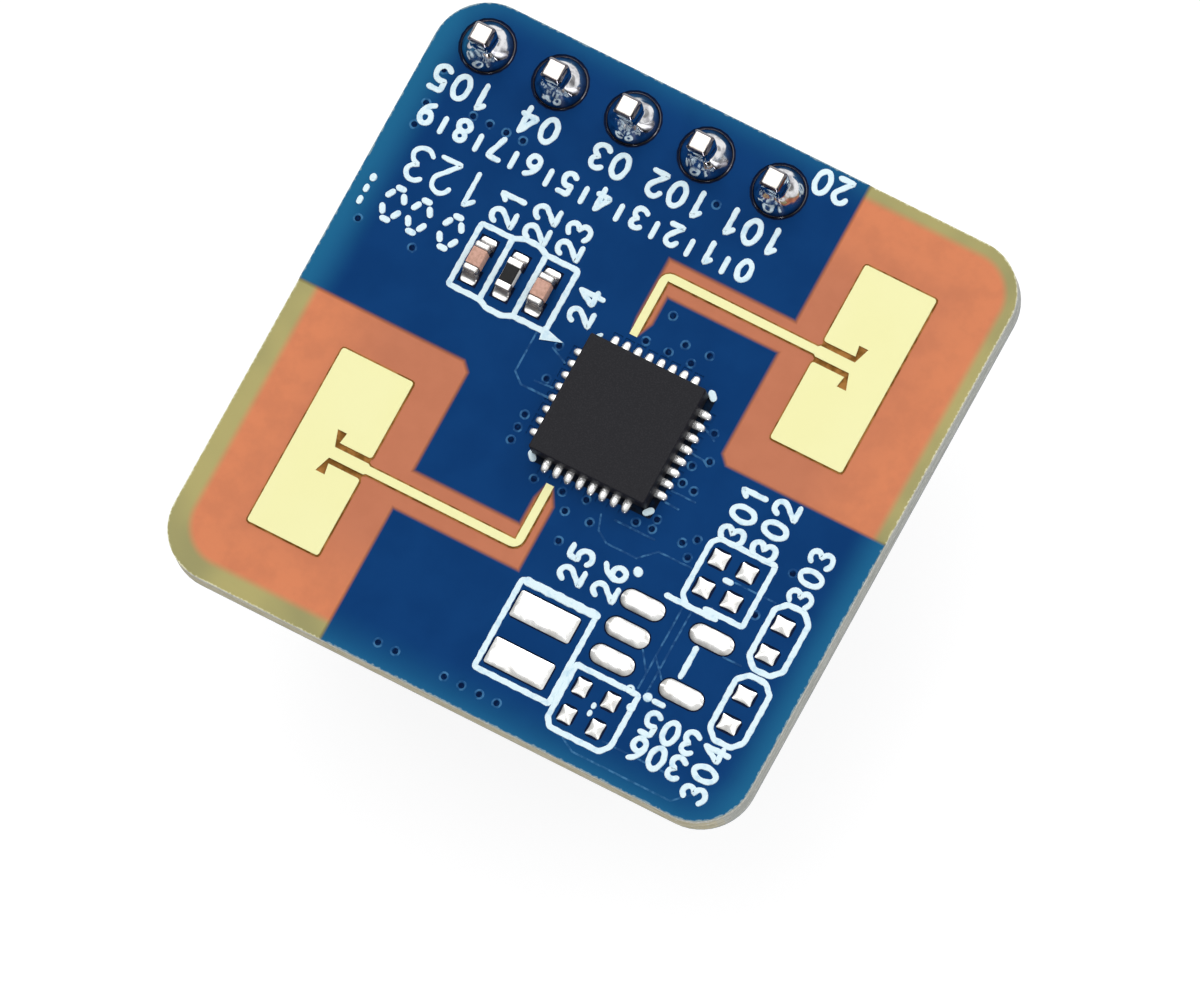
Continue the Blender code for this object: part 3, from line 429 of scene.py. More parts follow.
def turned(profile, centres, level, way, sides):
    """Profile of radius and height turned round upright axes, one for each centre."""
    radius, height = np.array(profile).T
    angle = np.arange(sides) * TURN / sides
    x = radius[:, None] * np.cos(angle)
    y = radius[:, None] * np.sin(angle)
    z = np.broadcast_to(level + way * height[:, None], x.shape)
    middles = np.concatenate([centres, np.zeros((len(centres), 1))], axis=1)
    return np.stack([x, y, z], axis=-1) + middles[:, None, None]


def softened(path, closed=False, step=INK_STEP, reach=2):
    """Path in even steps, each point the mean of those within reach: its corners go round."""
    path = np.asarray(path, float)
    if closed:
        path = np.concatenate([path, path[:1]])
    along = np.concatenate([[0], np.cumsum(np.linalg.norm(np.diff(path, axis=0), axis=1))])
    places = np.linspace(0, along[-1], max(2, round(along[-1] / step)) + 1)
    even = np.stack([np.interp(places, along, side) for side in path.T], axis=-1)
    if closed:
        even = even[:-1]
        padded = np.pad(even, ((reach, reach), (0, 0)), mode="wrap")
    else:
        padded = np.pad(even, ((reach, reach), (0, 0)), mode="reflect", reflect_type="odd")
    return np.mean([padded[k:k + len(even)] for k in range(2 * reach + 1)], axis=0)


def ribbon(path, width, low, high, closed=False, ragged=0.0):
    """Flat strip carried along a path, with its shoulders drawn in.

    At each point it stands on the mitre of the two stretches that meet there: the sum of
    their normals over half its own square length, no longer than 1.5. Past a free end it
    runs on by half its width while its half width falls along a quarter circle. Ragged
    edges are a sum of two sines of the place, and the top of an open path climbs by three
    ink layers, so that no two stretches lie level where it crosses itself.
    """
    path = np.asarray(path, float)
    if closed:
        before = path - np.roll(path, 1, axis=0)
        after = np.roll(path, -1, axis=0) - path
        half = np.full(len(path), width / 2)
    else:
        edges = np.diff(path, axis=0)
        edges /= np.linalg.norm(edges, axis=1)[:, None]
        lean = np.radians([80, 56, 28])
        reach = np.sin(lean)[:, None] * width / 2
        half = np.concatenate([np.cos(lean), np.ones(len(path)), np.cos(lean[::-1])]) * width / 2
        path = np.concatenate([path[0] - edges[0] * reach, path, path[-1] + edges[-1] * reach[::-1]])
        edges = np.diff(path, axis=0)
        before = np.concatenate([edges[:1], edges])
        after = np.concatenate([edges, edges[-1:]])
    normals = [edge[:, ::-1] * (-1, 1) / np.linalg.norm(edge, axis=1)[:, None]
               for edge in (before, after)]
    mitre = sum(normals)
    mitre = 2 * mitre / (mitre ** 2).sum(axis=1)[:, None]
    mitre /= np.maximum(1, np.linalg.norm(mitre, axis=1) / 1.5)[:, None]
    side = np.array([-1, -0.82, 0.82, 1])
    wave = np.sin((path @ (-11, 21))[:, None] + 2 * np.sign(side))
    wave = (np.sin(path @ (17, 9))[:, None] + wave) / 2
    across = half[:, None] * side * (1 + 2 * ragged * wave)
    climb = np.linspace(0, 0 if closed else 3 * INK_LAYER, len(path))[:, None]
    height = low + (high + climb - low) * np.array([0, 1, 1, 0])
    points = path[:, None] + mitre[:, None] * across[..., None]
    return skin(np.concatenate([points, height[..., None]], axis=-1), loop=closed)


def staggered(skins):
    """Skins lifted in turn by layers of ink, so that no two lie level where they cross."""
    return [(points + (0, 0, INK_LAYER * (k % 7)), faces) for k, (points, faces) in enumerate(skins)]


def hem(name, width, low, outer, inner, windows=False):
    """Strip round the outline of a node's upper face, from a little inside it to its width
    outside, with a height at either side.

    The outline is made of the edges that one upward triangle uses alone. A point moves on
    the mitre of its edges: the sum of their outward normals, times their number, over its
    own square length. For windows, only that part of the outermost loop counts that lies
    inland of the board's edge; loops are told apart by their lowest point number, passed on
    along ever longer jumps, and the strip's free ends are closed.
    """
    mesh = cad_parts[name].data
    flat = np.empty(3 * len(mesh.vertices))
    mesh.vertices.foreach_get("co", flat)
    points, same = np.unique(np.round(flat.reshape(-1, 3) / MM, 4), axis=0, return_inverse=True)
    mesh.calc_loop_triangles()
    corners = np.empty(3 * len(mesh.loop_triangles), int)
    mesh.loop_triangles.foreach_get("vertices", corners)
    corners = same.ravel()[corners].reshape(-1, 3)
    a, b, c = np.moveaxis(points[corners], 1, 0)
    corners = corners[np.cross(b - a, c - a)[:, 2] > 1e-6]
    starts, ends = corners.ravel(), np.roll(corners, -1, axis=1).ravel()
    free = ~np.isin(starts * len(points) + ends, ends * len(points) + starts)
    used, starts = np.unique(starts[free], return_inverse=True)
    ends = np.searchsorted(used, ends[free])
    place = points[used, :2]
    if windows:
        follow, label = np.empty(len(place), int), np.arange(len(place))
        follow[starts] = ends
        for _ in range(LOOP_JUMPS):
            label, follow = np.minimum(label, label[follow]), follow[follow]
        past = np.maximum(np.abs(place) - (BOARD_HIGH[:2] - BOARD_CORNER), 0)
        inland = np.linalg.norm(past, axis=1) < BOARD_CORNER - 0.1
        keep = (label == label[place[:, 0].argmax()])[starts] & (inland[starts] | inland[ends])
        used, both = np.unique(np.stack([starts[keep], ends[keep]]), return_inverse=True)
        starts, ends = both.reshape(2, -1)
        place = place[used]
    run = place[ends] - place[starts]
    outward = run[:, ::-1] * (1, -1) / np.linalg.norm(run, axis=1)[:, None]
    total = np.zeros((len(place), 3))
    np.add.at(total, starts, np.pad(outward, ((0, 0), (0, 1)), constant_values=1))
    np.add.at(total, ends, np.pad(outward, ((0, 0), (0, 1)), constant_values=1))
    total, number = total[:, :2], total[:, 2:]
    mitre = number * total / np.maximum((total ** 2).sum(axis=1), 0.5)[:, None]
    shift = np.array([-HEM_LAP, width, width, -HEM_LAP])[:, None]
    height = np.broadcast_to([low, low, outer, inner], (len(place), 4))[..., None]
    strip = np.concatenate([place[:, None] + mitre[:, None] * shift, height], axis=-1)
    k, after = np.arange(4), (np.arange(4) + 1) % 4
    s, e = starts[:, None] * 4, ends[:, None] * 4
    sides = np.stack([s + k, e + k, e + after, s + after], axis=-1).reshape(-1, 4)
    first, last = (np.setdiff1d(a, b)[:, None] * 4 for a, b in ((starts, ends), (ends, starts)))
    faces = np.concatenate([sides, first + k, last + k[::-1]])
    return strip.reshape(-1, 3), faces.tolist()


POOL_WAY = np.array([0.0, 0.0, 0.07, 0.16, 0.28, 0.42, 0.58, 0.76, 0.92])


def pool(half, radius, crown):
    """Tin on a large land: rounded outlines drawn in step by step, whose height rises from a
    third of the crown to all of it. What is still missing is a power of the way left."""
    inset = POOL_WAY[:, None] * min(half)
    outlines = rounded(half[0] - inset, half[1] - inset, np.maximum(radius - inset, 0.01), 5)
    height = crown * (1 - 0.67 * (1 - POOL_WAY) ** 2.4)
    height[0] = 0.0
    return lifted(outlines, height)


def tent(half, crown):
    """Tin drawn to the corners of a small land: outlines with bent in sides, drawn in step by
    step. Their height rises from a quarter of the crown nearly as the way in, so that four
    flats meet in ridges at the corners."""
    pinch = SMALL_LAND_PINCH * (1 - POOL_WAY)
    outlines = np.stack([pinched(half * (1 - way), bend) for way, bend in zip(POOL_WAY, pinch)])
    height = crown * (0.25 + 0.55 * POOL_WAY ** 0.9)
    height[0] = 0.0
    return lifted(outlines, height)


# Digits, as strokes of a pen in a cell 0.6 wide and 1 high


def bow(x, y, half_width, half_height, start, stop, steps=10):
    """Stretch of an ellipse about a middle, between two angles in degrees."""
    angle = np.radians(np.linspace(start, stop, steps + 1))
    return np.stack([x + half_width * np.cos(angle), y + half_height * np.sin(angle)], axis=-1)


SIX = [bow(0.3, 0.3, 0.28, 0.3, 0, 360, 14), bow(0.62, 0.3, 0.6, 0.7, 176, 106, 6)]
DIGITS = {
    "0": [bow(0.3, 0.5, 0.3, 0.5, 0, 360, 16)],
    "1": [np.array([(0.1, 0.78), (0.32, 1.0), (0.32, 0.0)])],
    "2": [np.concatenate([bow(0.3, 0.71, 0.28, 0.29, 165, -25), [(0.02, 0.0), (0.6, 0.0)]])],
    "3": [np.concatenate([bow(0.28, 0.76, 0.26, 0.24, 150, -85),
                          bow(0.28, 0.26, 0.3, 0.26, 85, -150)])],
    "4": [np.array([(0.46, 0.0), (0.46, 1.0)]), np.array([(0.42, 0.97), (0.02, 0.3), (0.6, 0.3)])],
    "5": [np.concatenate([[(0.55, 1.0), (0.1, 1.0), (0.07, 0.56)],
                          bow(0.28, 0.32, 0.3, 0.32, 118, -140)])],
    "6": SIX,
    "7": [np.array([(0.02, 1.0), (0.58, 1.0), (0.2, 0.0)])],
    "8": [bow(0.3, 0.76, 0.25, 0.24, 0, 360, 12), bow(0.3, 0.26, 0.3, 0.27, 0, 360, 14)],
    "9": [(0.6, 1.0) - stroke for stroke in SIX],
}


def numerals(text, centre, turn, height, pen, levels, step=DIGIT_STEP):
    """Row of digits about a centre, drawn with a pen along a turned base line."""
    length = step * (len(text) - 1) + DIGIT_WIDTH
    c, s = math.cos(math.radians(turn)), math.sin(math.radians(turn))
    skins = []
    for k, digit in enumerate(text):
        for stroke in DIGITS[digit]:
            closed = bool(np.allclose(stroke[0], stroke[-1]))
            local = (stroke[:-1] if closed else stroke) + (k * step - length / 2, -0.5)
            path = softened(local @ np.array([[c, s], [-s, c]]) * height + centre, closed, reach=1)
            skins.append(ribbon(path, pen, *levels, closed=closed, ragged=INK_RAGGED))
    return skins


# Finishes


def linear(hex_colour):
    """Linear colour of an sRGB hex value."""
    value = np.array([int(hex_colour[k:k + 2], 16) for k in (1, 3, 5)]) / 255
    curve = np.where(value <= 0.04045, value / 12.92, ((value + 0.055) / 1.055) ** 2.4)
    return tuple(float(c) for c in curve)


def as_linear(colour):
    """Linear colour of a hex value, or a linear colour as it is."""
    return linear(colour) if isinstance(colour, str) else colour


def add_node(tree, kind, inputs, **settings):
    """Add a node with its settings, each input fed by a socket or set to a value."""
    made = tree.nodes.new("ShaderNode" + kind)
    for name, value in settings.items():
        setattr(made, name, value)
    for name, value in inputs.items():
        if isinstance(value, bpy.types.NodeSocket):
            tree.links.new(value, made.inputs[name])
        else:
            made.inputs[name].default_value = value
    return made


def surface(name, colour, roughness, metallic=0.0, specular=None):
    """Material with one Principled shader, and constant values set on its own sockets."""
    material = bpy.data.materials.new(name)
    material.use_nodes = True
    shader = material.node_tree.nodes["Principled BSDF"]
    shader.inputs["Base Color"].default_value = (*as_linear(colour), 1.0)
    shader.inputs["Roughness"].default_value = roughness
    shader.inputs["Metallic"].default_value = metallic
    if specular is not None:
        shader.inputs["Specular IOR Level"].default_value = specular
    return material, material.node_tree, shader


def shared(make, *settings):
    """The material that a function makes, made once and named after the function."""
    return bpy.data.materials.get(make.__name__) or make(make.__name__, *settings)


def place_mm(tree, axis=None):
    """Socket with the place on the module in millimetres, or with its share along an axis."""
    place = add_node(tree, "TexCoord", {})
    place = add_node(tree, "VectorMath", {0: place.outputs["Object"], "Scale": 1 / MM},
                     operation="SCALE").outputs[0]
    return add_node(tree, "SeparateXYZ", {0: place}).outputs[axis] if axis else place


def grains(tree, size, stretch=(1, 1, 1), detail=2.0):
    """Socket with a noise from 0 to 1 whose grains measure a size in millimetres."""
    place = add_node(tree, "Mapping", {"Vector": place_mm(tree), "Scale": stretch}).outputs[0]
    noise = add_node(tree, "TexNoise", {"Vector": place, "Scale": 1 / size, "Detail": detail})
    return noise.outputs["Fac"]


def ranged(tree, value, low, high, start=0.0, stop=1.0):
    """Socket that passes smoothly from start to stop as the value goes from low to high."""
    return add_node(tree, "MapRange", {"Value": value, "From Min": low, "From Max": high,
                                       "To Min": start, "To Max": stop},
                    interpolation_type="SMOOTHSTEP").outputs[0]


def mixed(tree, factor, first, second):
    """Socket with a colour between two, each a hex value, a linear colour or a socket."""
    first, second = (end if isinstance(end, bpy.types.NodeSocket) else (*as_linear(end), 1.0)
                     for end in (first, second))
    return add_node(tree, "Mix", {0: factor, 6: first, 7: second}, data_type="RGBA").outputs[2]


def painted(tree, shader, colour):
    """Feed the shader's base colour from a socket."""
    tree.links.new(colour, shader.inputs["Base Color"])


def relief(tree, shader, height, depth):
    """Bump of a depth in millimetres from a height between 0 and 1."""
    bump = add_node(tree, "Bump", {"Height": height, "Distance": depth * MM, "Strength": 1.0})
    tree.links.new(bump.outputs[0], shader.inputs["Normal"])


def speckled(name, colour, roughness, metallic=0.0, specular=None, specks=None, pair=(), bump=None):
    """Material whose colour passes between a pair by a noise, and that another noise bumps.

    Specks give the noise's grain in mm, the two values between which the colour passes and,
    where that isn't all the way, how far. A bump gives a grain and a depth in mm and, where
    it isn't 2, the detail.
    """
    material, tree, shader = surface(name, colour, roughness, metallic, specular)
    if specks:
        size, low, high, *most = specks
        share = ranged(tree, grains(tree, size), low, high, 0.0, *most)
        painted(tree, shader, mixed(tree, share, *pair))
    if bump:
        size, depth, *detail = bump
        relief(tree, shader, grains(tree, size, (1, 1, 1), *detail), depth)
    return material


def beyond_plane(tree, board):
    """Socket with the distance in mm past the edge of the inner copper plane."""
    shift = (board.plane_shift / MM, board.plane_lift / MM)
    return past_outline(tree, board.plane_pullback / MM, shift, board.plane_corner / MM)


def past_outline(tree, inset, shift, radius):
    """Socket with the distance in mm past the board's outline, drawn in and shifted.

    The signed distance to a rounded rectangle: the length of what lies past the corner
    circles' middles, less the corner radius.
    """
    half = [float(side) - inset - radius for side in BOARD_HIGH[:2]]
    centred = add_node(tree, "VectorMath", {0: place_mm(tree), 1: (*shift, 0)}, operation="SUBTRACT")
    folded = add_node(tree, "VectorMath", {0: centred.outputs[0]}, operation="ABSOLUTE")
    past = add_node(tree, "VectorMath", {0: folded.outputs[0], 1: (*half, 0)}, operation="SUBTRACT")
    outside = add_node(tree, "VectorMath", {0: past.outputs[0], 1: (0, 0, 0)}, operation="MAXIMUM")
    flat = add_node(tree, "VectorMath", {0: outside.outputs[0], 1: (1, 1, 0)}, operation="MULTIPLY")
    length = add_node(tree, "VectorMath", {0: flat.outputs[0]}, operation="LENGTH")
    parts = add_node(tree, "SeparateXYZ", {0: past.outputs[0]})
    deepest = add_node(tree, "Math", {0: parts.outputs[0], 1: parts.outputs[1]}, operation="MAXIMUM")
    inside = add_node(tree, "Math", {0: deepest.outputs[0], 1: 0.0}, operation="MINIMUM")
    total = add_node(tree, "Math", {0: length.outputs["Value"], 1: inside.outputs[0]}, operation="ADD")
    return add_node(tree, "Math", {0: total.outputs[0], 1: radius}, operation="SUBTRACT").outputs[0]


def facing(tree, axis, low, high):
    """Socket that passes from 0 to 1 as the normal's share along an axis, either way, goes
    from low to high."""
    normal = add_node(tree, "NewGeometry", {}).outputs["Normal"]
    share = add_node(tree, "SeparateXYZ", {0: normal}).outputs[axis]
    size = add_node(tree, "Math", {0: share}, operation="ABSOLUTE").outputs[0]
    return ranged(tree, size, low, high)


def solder_mask_lacquer(name, board):
    """Epoxy lacquer, curtain coated and cured: deep blue over copper, paler where the
    copper stops short of the board's edge, with a faint orange peel."""
    material, tree, shader = surface(name, board.mask_colour, 0.45, specular=0.03)
    painted(tree, shader, mixed(tree, chipped_rim(tree), lacquer_colour(tree, board), "#8CA4AC"))
    relief(tree, shader, grains(tree, 0.35), 0.0015)
    return material


def lacquer_colour(tree, board):
    """Socket with the mask's colour: faintly clouded, and paler past the copper plane,
    which reaches nearer to the board's edge along the header and at the far side."""
    cloud = ranged(tree, grains(tree, 1.6, detail=5.0), 0.35, 0.65)
    colour = mixed(tree, cloud, board.mask_colour, "#05386F")
    past = beyond_plane(tree, board)
    for row in EDGE_ROWS:
        reach = ranged(tree, place_mm(tree, "Y"), *row)
        past = add_node(tree, "Math", {0: past, 1: reach}, operation="SUBTRACT").outputs[0]
    return mixed(tree, ranged(tree, past, -0.75, 0.55), colour, board.mask_edge_colour)


def chipped_rim(tree):
    """Socket that is 1 in the last hundredths of a millimetre before the sawn edge, where
    the saw leaves a ragged line of pale crushed resin."""
    ragged = ranged(tree, grains(tree, 0.12, detail=4.0), 0.35, 0.7, -0.005, -0.05)
    past = past_outline(tree, 0.0, (0, 0), BOARD_CORNER)
    depth = add_node(tree, "Math", {0: past, 1: ragged}, operation="SUBTRACT").outputs[0]
    return ranged(tree, depth, -0.02, 0.02)


def lacquer_over_copper_with_highlight(name, board):
    """The same lacquer drawn thin over the edge of a trace or a via's ring, where the copper makes it
    a little paler, with a painted highlight that makes it paler still."""
    material, tree, shader = surface(name, "#184F88", 0.4, specular=0.05)
    thin = ranged(tree, grains(tree, 0.22), 0.38, 0.66, 0.05, 0.5)
    # Paler blue: thin lacquer over copper, and a painted highlight along the edge
    painted(tree, shader, mixed(tree, thin, lacquer_colour(tree, board), "#5896C4"))
    return material


def tented_via_hole(name):
    """Lacquer sunk into a plated hole, with no sheen: nearly black, a painted shade of the empty bore.
    """
    return speckled(name, "#061C3A", 0.5, specular=0.01, specks=(0.08, 0.4, 0.7),
                    pair=("#06183A", "#082C58"))


def laminate_over_copper(name, board):
    """Glass and epoxy prepreg: matt copper glows orange through it, and past the copper's
    edge it is the yellow green of bare epoxy, with a rough sawn wall."""
    material, tree, shader = surface(name, board.copper_colour, 0.5, specular=0.15)
    wall = mixed(tree, ranged(tree, grains(tree, 0.12), 0.45, 0.62), "#DDDCD0", "#F8F7F0")
    painted(tree, shader, mixed(tree, facing(tree, "Z", 0.4, 0.6), wall, laminate_colour(tree, board)))
    relief(tree, shader, grains(tree, 0.3, stretch=(1, 3, 1)), 0.002)
    return material


def laminate_colour(tree, board):
    """Socket with the colour of the front laminate's face, over copper and past it."""
    past = beyond_plane(tree, board)
    depth = ranged(tree, past, -3.2, -0.4)
    copper = mixed(tree, depth, board.copper_shade_colour, board.copper_colour)
    weave = ranged(tree, grains(tree, 0.7, detail=6.0), 0.35, 0.7, 0.0, 0.3)
    copper = mixed(tree, weave, copper, "#B86D4E")
    patch = ranged(tree, grains(tree, 3.5), 0.35, 0.65)
    border = mixed(tree, patch, board.border_colour, board.border_shade_colour)
    colour = mixed(tree, ranged(tree, past, -0.16, 0.16), copper, border)
    return mixed(tree, chipped_rim(tree), colour, "#DBD8B4")


def thinned_lacquer(name, board):
    """Lacquer that runs thin at the edge of a window: its blue fades into the laminate's colour
    through a dull brown, a painted shade at the foot of the mask's edge."""
    material, tree, shader = surface(name, board.mask_colour, 0.5, specular=0.1)
    height = place_mm(tree, "Z")
    bare = laminate_colour(tree, board)
    # Painted shade at the foot of the mask's edge: the laminate's colour darkened toward brown
    brown = mixed(tree, 0.4, bare, "#3A2A28")
    colour = mixed(tree, ranged(tree, height, FACE - 0.004, FACE + 0.022), bare, brown)
    cover = ranged(tree, height, FACE + 0.01, MASK_TOP)
    painted(tree, shader, mixed(tree, cover, colour, lacquer_colour(tree, board)))
    return material


def sawn_glass_epoxy(name):
    """Woven glass in epoxy, cut and left raw: walls with pale broken fibre ends in thin layers, about
    0.15 mm apart, grey on the walls facing along x and a paler cream on those facing along y, painted
    light that stands in for the lit lower wall."""
    material, tree, shader = surface(name, "#D4D6CF", 0.7, specular=0.2)
    layers = grains(tree, 0.5, stretch=(0.5, 0.5, 5), detail=4)
    share = ranged(tree, layers, 0.35, 0.65)
    sawn = mixed(tree, share, "#C4C6BF", "#E0E2DC")
    cream = mixed(tree, share, "#D8CFAC", "#F6EED2")
    # Painted light: walls facing along y paler and cream, those along x grey
    colour = mixed(tree, facing(tree, "Y", 0.5, 0.8), sawn, cream)
    fibres = ranged(tree, grains(tree, 0.07, stretch=(0.6, 0.6, 1.4)), 0.58, 0.7, 0.0, 0.9)
    painted(tree, shader, mixed(tree, fibres, colour, "#FDFCF6"))
    relief(tree, shader, layers, 0.02)
    return material


def inner_copper_foil(name):
    """Treated copper foil pressed between laminates: matt reddish brown, seen at no edge."""
    return speckled(name, "#9C5A3C", 0.5, 1.0, bump=(0.1, 0.004))


def immersion_gold(name, board):
    """Gold plated thin on nickel over copper: pale yellow, and so fine and matt that it
    scatters more than it mirrors."""
    return speckled(name, board.gold_colour, 0.38, 0.3, specks=(2.2, 0.3, 0.7, 0.3),
                    pair=(board.gold_colour, "#DEDCA8"), bump=(0.05, 0.0006))


def etched_edge_shadow(name):
    """Thin brown line along the etched side of the copper: a painted shadow of its undercut."""
    return speckled(name, "#8A5C26", 0.6, specular=0.05, specks=(0.3, 0.35, 0.65),
                    pair=("#7C5322", "#AC783E"))


def painted_opening_shade(name):
    """Painted shadow at the foot of a mask opening: the bare laminate there, in the lacquer's shadow,
    painted near black.
    """
    return speckled(name, "#0C1A38", 0.6, specular=0.05, bump=(0.1, 0.003))


def screen_print_ink(name, style):
    """Epoxy ink squeezed through a mesh: white, matt, a little blue where it lies thin."""
    return speckled(name, style.ink_colour, 0.6, specular=0.2, specks=(0.22, 0.5, 0.75, 0.45),
                    pair=(style.ink_colour, "#A9D3EC"), bump=(0.06, 0.003))


def levelled_tin(name):
    """Tin left by a levelling knife of hot air: bright and white, with shallow pools that
    reflect unevenly."""
    return speckled(name, "#F4F4F2", 0.24, 1.0, specks=(0.5, 0.4, 0.75, 0.5),
                    pair=("#F8F8F6", "#CFCBC4"), bump=(0.4, 0.035, 1.0))


def flowed_solder(name):
    """Solder that set as a smooth bead: mirror bright where it is clean, dulled in patches by oxide,
    darker at its foot and grey where it thins out on the pin's taper, both painted shade."""
    material, tree, shader = surface(name, "#B9B9BD", 0.1, 1.0)
    bright = mixed(tree, ranged(tree, grains(tree, 0.3), 0.4, 0.7), "#DEDEE0", "#A3A2A7")
    height = place_mm(tree, "Z")
    # Painted shade: darker towards the foot of the cone
    colour = mixed(tree, ranged(tree, height, FACE + 0.07, FACE + 0.35), "#86848A", bright)
    # Painted shade: grey on the skin up the pin's taper
    taper = PIN_TIP - PIN_TAPER
    taper_shade = ranged(tree, height, taper - 0.04, taper + 0.01)
    painted(tree, shader, mixed(tree, taper_shade, colour, "#66636A"))
    relief(tree, shader, grains(tree, 0.35, detail=1.0), 0.008)
    return material


def reflowed_paste(name):
    """Solder paste melted in an oven: white metal with a fine frosted crust."""
    return speckled(name, "#FAFAF8", 0.24, 0.8, specks=(0.12, 0.5, 0.75, 0.4),
                    pair=("#FDFDFC", "#C4C4C6"), bump=(0.12, 0.01, 1.0))


def tin_plated_end(name):
    """Tin plated on the ends of a chip part and wetted by its solder: white where it is flat, and a
    brown grey painted shade where it is steep."""
    material, tree, shader = surface(name, "#F2F1EF", 0.25, 0.7)
    cloud = ranged(tree, grains(tree, 0.2), 0.45, 0.75, 0.0, 0.5)
    flat = mixed(tree, cloud, "#F6F5F3", "#B9B4B0")
    # Painted shade: steep faces darker than flat ones
    painted(tree, shader, mixed(tree, facing(tree, "Z", 0.45, 0.95), "#9C918A", flat))
    relief(tree, shader, grains(tree, 0.15, detail=1.0), 0.015)
    return material


def painted_chip_shadow(name):
    """Painted shadow that the chip casts on the lacquer round its foot: near black."""
    return speckled(name, "#0A1526", 0.5, specular=0.05, specks=(0.3, 0.35, 0.7),
                    pair=("#080E19", "#0C2138"))


def drawn_metal(name, colour, size, stretch, pair, depth):
    """Satin metal with marks along its length, which colour and bump it alike."""
    material, tree, shader = surface(name, colour, 0.3, 1.0)
    marks = grains(tree, size, stretch)
    painted(tree, shader, mixed(tree, ranged(tree, marks, 0.4, 0.7), *pair))
    relief(tree, shader, marks, depth)
    return material


def tinned_brass(name):
    """Brass drawn square and dipped in tin: satin silver with fine lengthwise marks."""
    return drawn_metal(name, "#DED8D0", 0.12, (1, 1, 0.15), ("#E4DED6", "#C6BEB6"), 0.003)


def plated_lid(name):
    """Kovar lid, rolled and nickel plated: satin, with faint marks along its length."""
    return drawn_metal(name, "#CFC7B2", 0.05, (0.1, 1, 1), ("#D5CDB8", "#BFB7A2"), 0.002)


def moulded_epoxy(name):
    """Epoxy filled with silica and moulded: near black, finely sparked, dull sheen."""
    return speckled(name, "#26262A", 0.5, specular=0.1, specks=(0.04, 0.45, 0.7),
                    pair=("#232327", "#2B2B2F"), bump=(0.03, 0.002))


def moulded_nylon(name):
    """Black nylon moulded round the pins: smooth, with a soft sheen."""
    return speckled(name, "#17171A", 0.42, specular=0.45, specks=(0.6, 0.4, 0.7),
                    pair=("#161618", "#202024"), bump=(0.08, 0.003))


def fired_tan_ceramic(name):
    """Barium titanate fired as a brick: matt tan, with a fine grain."""
    return speckled(name, "#CE967F", 0.6, specular=0.2, specks=(0.09, 0.35, 0.7),
                    pair=("#D5A896", "#C09482"), bump=(0.04, 0.003))


def glazed_resistor(name):
    """Black glaze fired over the resistor's film, slightly uneven."""
    return speckled(name, "#141416", 0.4, specular=0.2, specks=(0.12, 0.4, 0.7),
                    pair=("#0A0A0D", "#151518"), bump=(0.1, 0.004))


def pressed_alumina(name):
    """White alumina pressed and fired, matt: the chip below the resistor's glaze."""
    return speckled(name, "#E6E6E2", 0.7, specular=0.2, bump=(0.04, 0.003))


def glazed_tray(name):
    """Ceramic tray of the crystal: dark grey alumina, satin."""
    return speckled(name, "#3A3733", 0.45, specular=0.4, specks=(0.15, 0.4, 0.7),
                    pair=("#37342F", "#48443D"), bump=(0.05, 0.003))


def pale_paper_floor(name):
    """Pale matt paper: it takes the object's soft shadow, and its own glow in the views of
    camera, metal and glass makes it white where no shadow falls."""
    material, tree, shader = surface(name, "#8C8C8C", 1.0, specular=0.0)
    rays = add_node(tree, "LightPath", {})
    seen = rays.outputs["Is Camera Ray"]
    for output in ("Is Glossy Ray", "Is Transmission Ray"):
        seen = add_node(tree, "Math", {0: seen, 1: rays.outputs[output]}, operation="ADD",
                        use_clamp=True).outputs[0]
    glow = add_node(tree, "Math", {0: seen, 1: FLOOR_GLOW}, operation="MULTIPLY")
    shader.inputs["Emission Color"].default_value = (1, 1, 1, 1)
    tree.links.new(glow.outputs[0], shader.inputs["Emission Strength"])
    return material


# Settings


class RadarBoard(bpy.types.PropertyGroup):
    """Colours and sizes of the board, its mask and its antennas."""
    mask_colour: FloatVectorProperty(
        name="Mask", description="Lacquer over copper", subtype="COLOR", size=3,
        default=linear("#083C74"))
    mask_edge_colour: FloatVectorProperty(
        name="Mask edge", description="Lacquer past the copper plane", subtype="COLOR", size=3,
        default=linear("#1D6690"))
    copper_colour: FloatVectorProperty(
        name="Copper glow", description="Copper seen through laminate", subtype="COLOR", size=3,
        default=linear("#DB845A"))
    copper_shade_colour: FloatVectorProperty(
        name="Copper shade", description="Copper glow near the board's middle", subtype="COLOR",
        size=3, default=linear("#C57857"))
    border_colour: FloatVectorProperty(
        name="Border", description="Bare laminate at the edge", subtype="COLOR", size=3,
        default=linear("#B2A86C"))
    border_shade_colour: FloatVectorProperty(
        name="Border shade", description="Darker stretches of bare laminate", subtype="COLOR",
        size=3, default=linear("#9A9564"))
    gold_colour: FloatVectorProperty(
        name="Gold", description="Plating of the antennas", subtype="COLOR", size=3,
        default=linear("#DCD99E"))
    plane_pullback: FloatProperty(
        name="Plane pullback", description="Board's edge to the copper plane", unit="LENGTH",
        default=0.5 * MM)
    plane_shift: FloatProperty(
        name="Plane shift", description="Copper plane's shift along x", unit="LENGTH",
        default=0.13 * MM)
    plane_lift: FloatProperty(
        name="Plane lift", description="Copper plane's shift to the header", unit="LENGTH",
        default=0.1 * MM)
    plane_corner: FloatProperty(
        name="Plane corner", description="Corner radius of the copper plane", unit="LENGTH",
        default=1.35 * MM)
    seam_width: FloatProperty(
        name="Seam width", description="Brown line round the plated copper", unit="LENGTH",
        default=0.055 * MM)
    film_width: FloatProperty(
        name="Film width", description="Lacquer that thins out in the antennas' windows",
        unit="LENGTH", default=0.14 * MM)


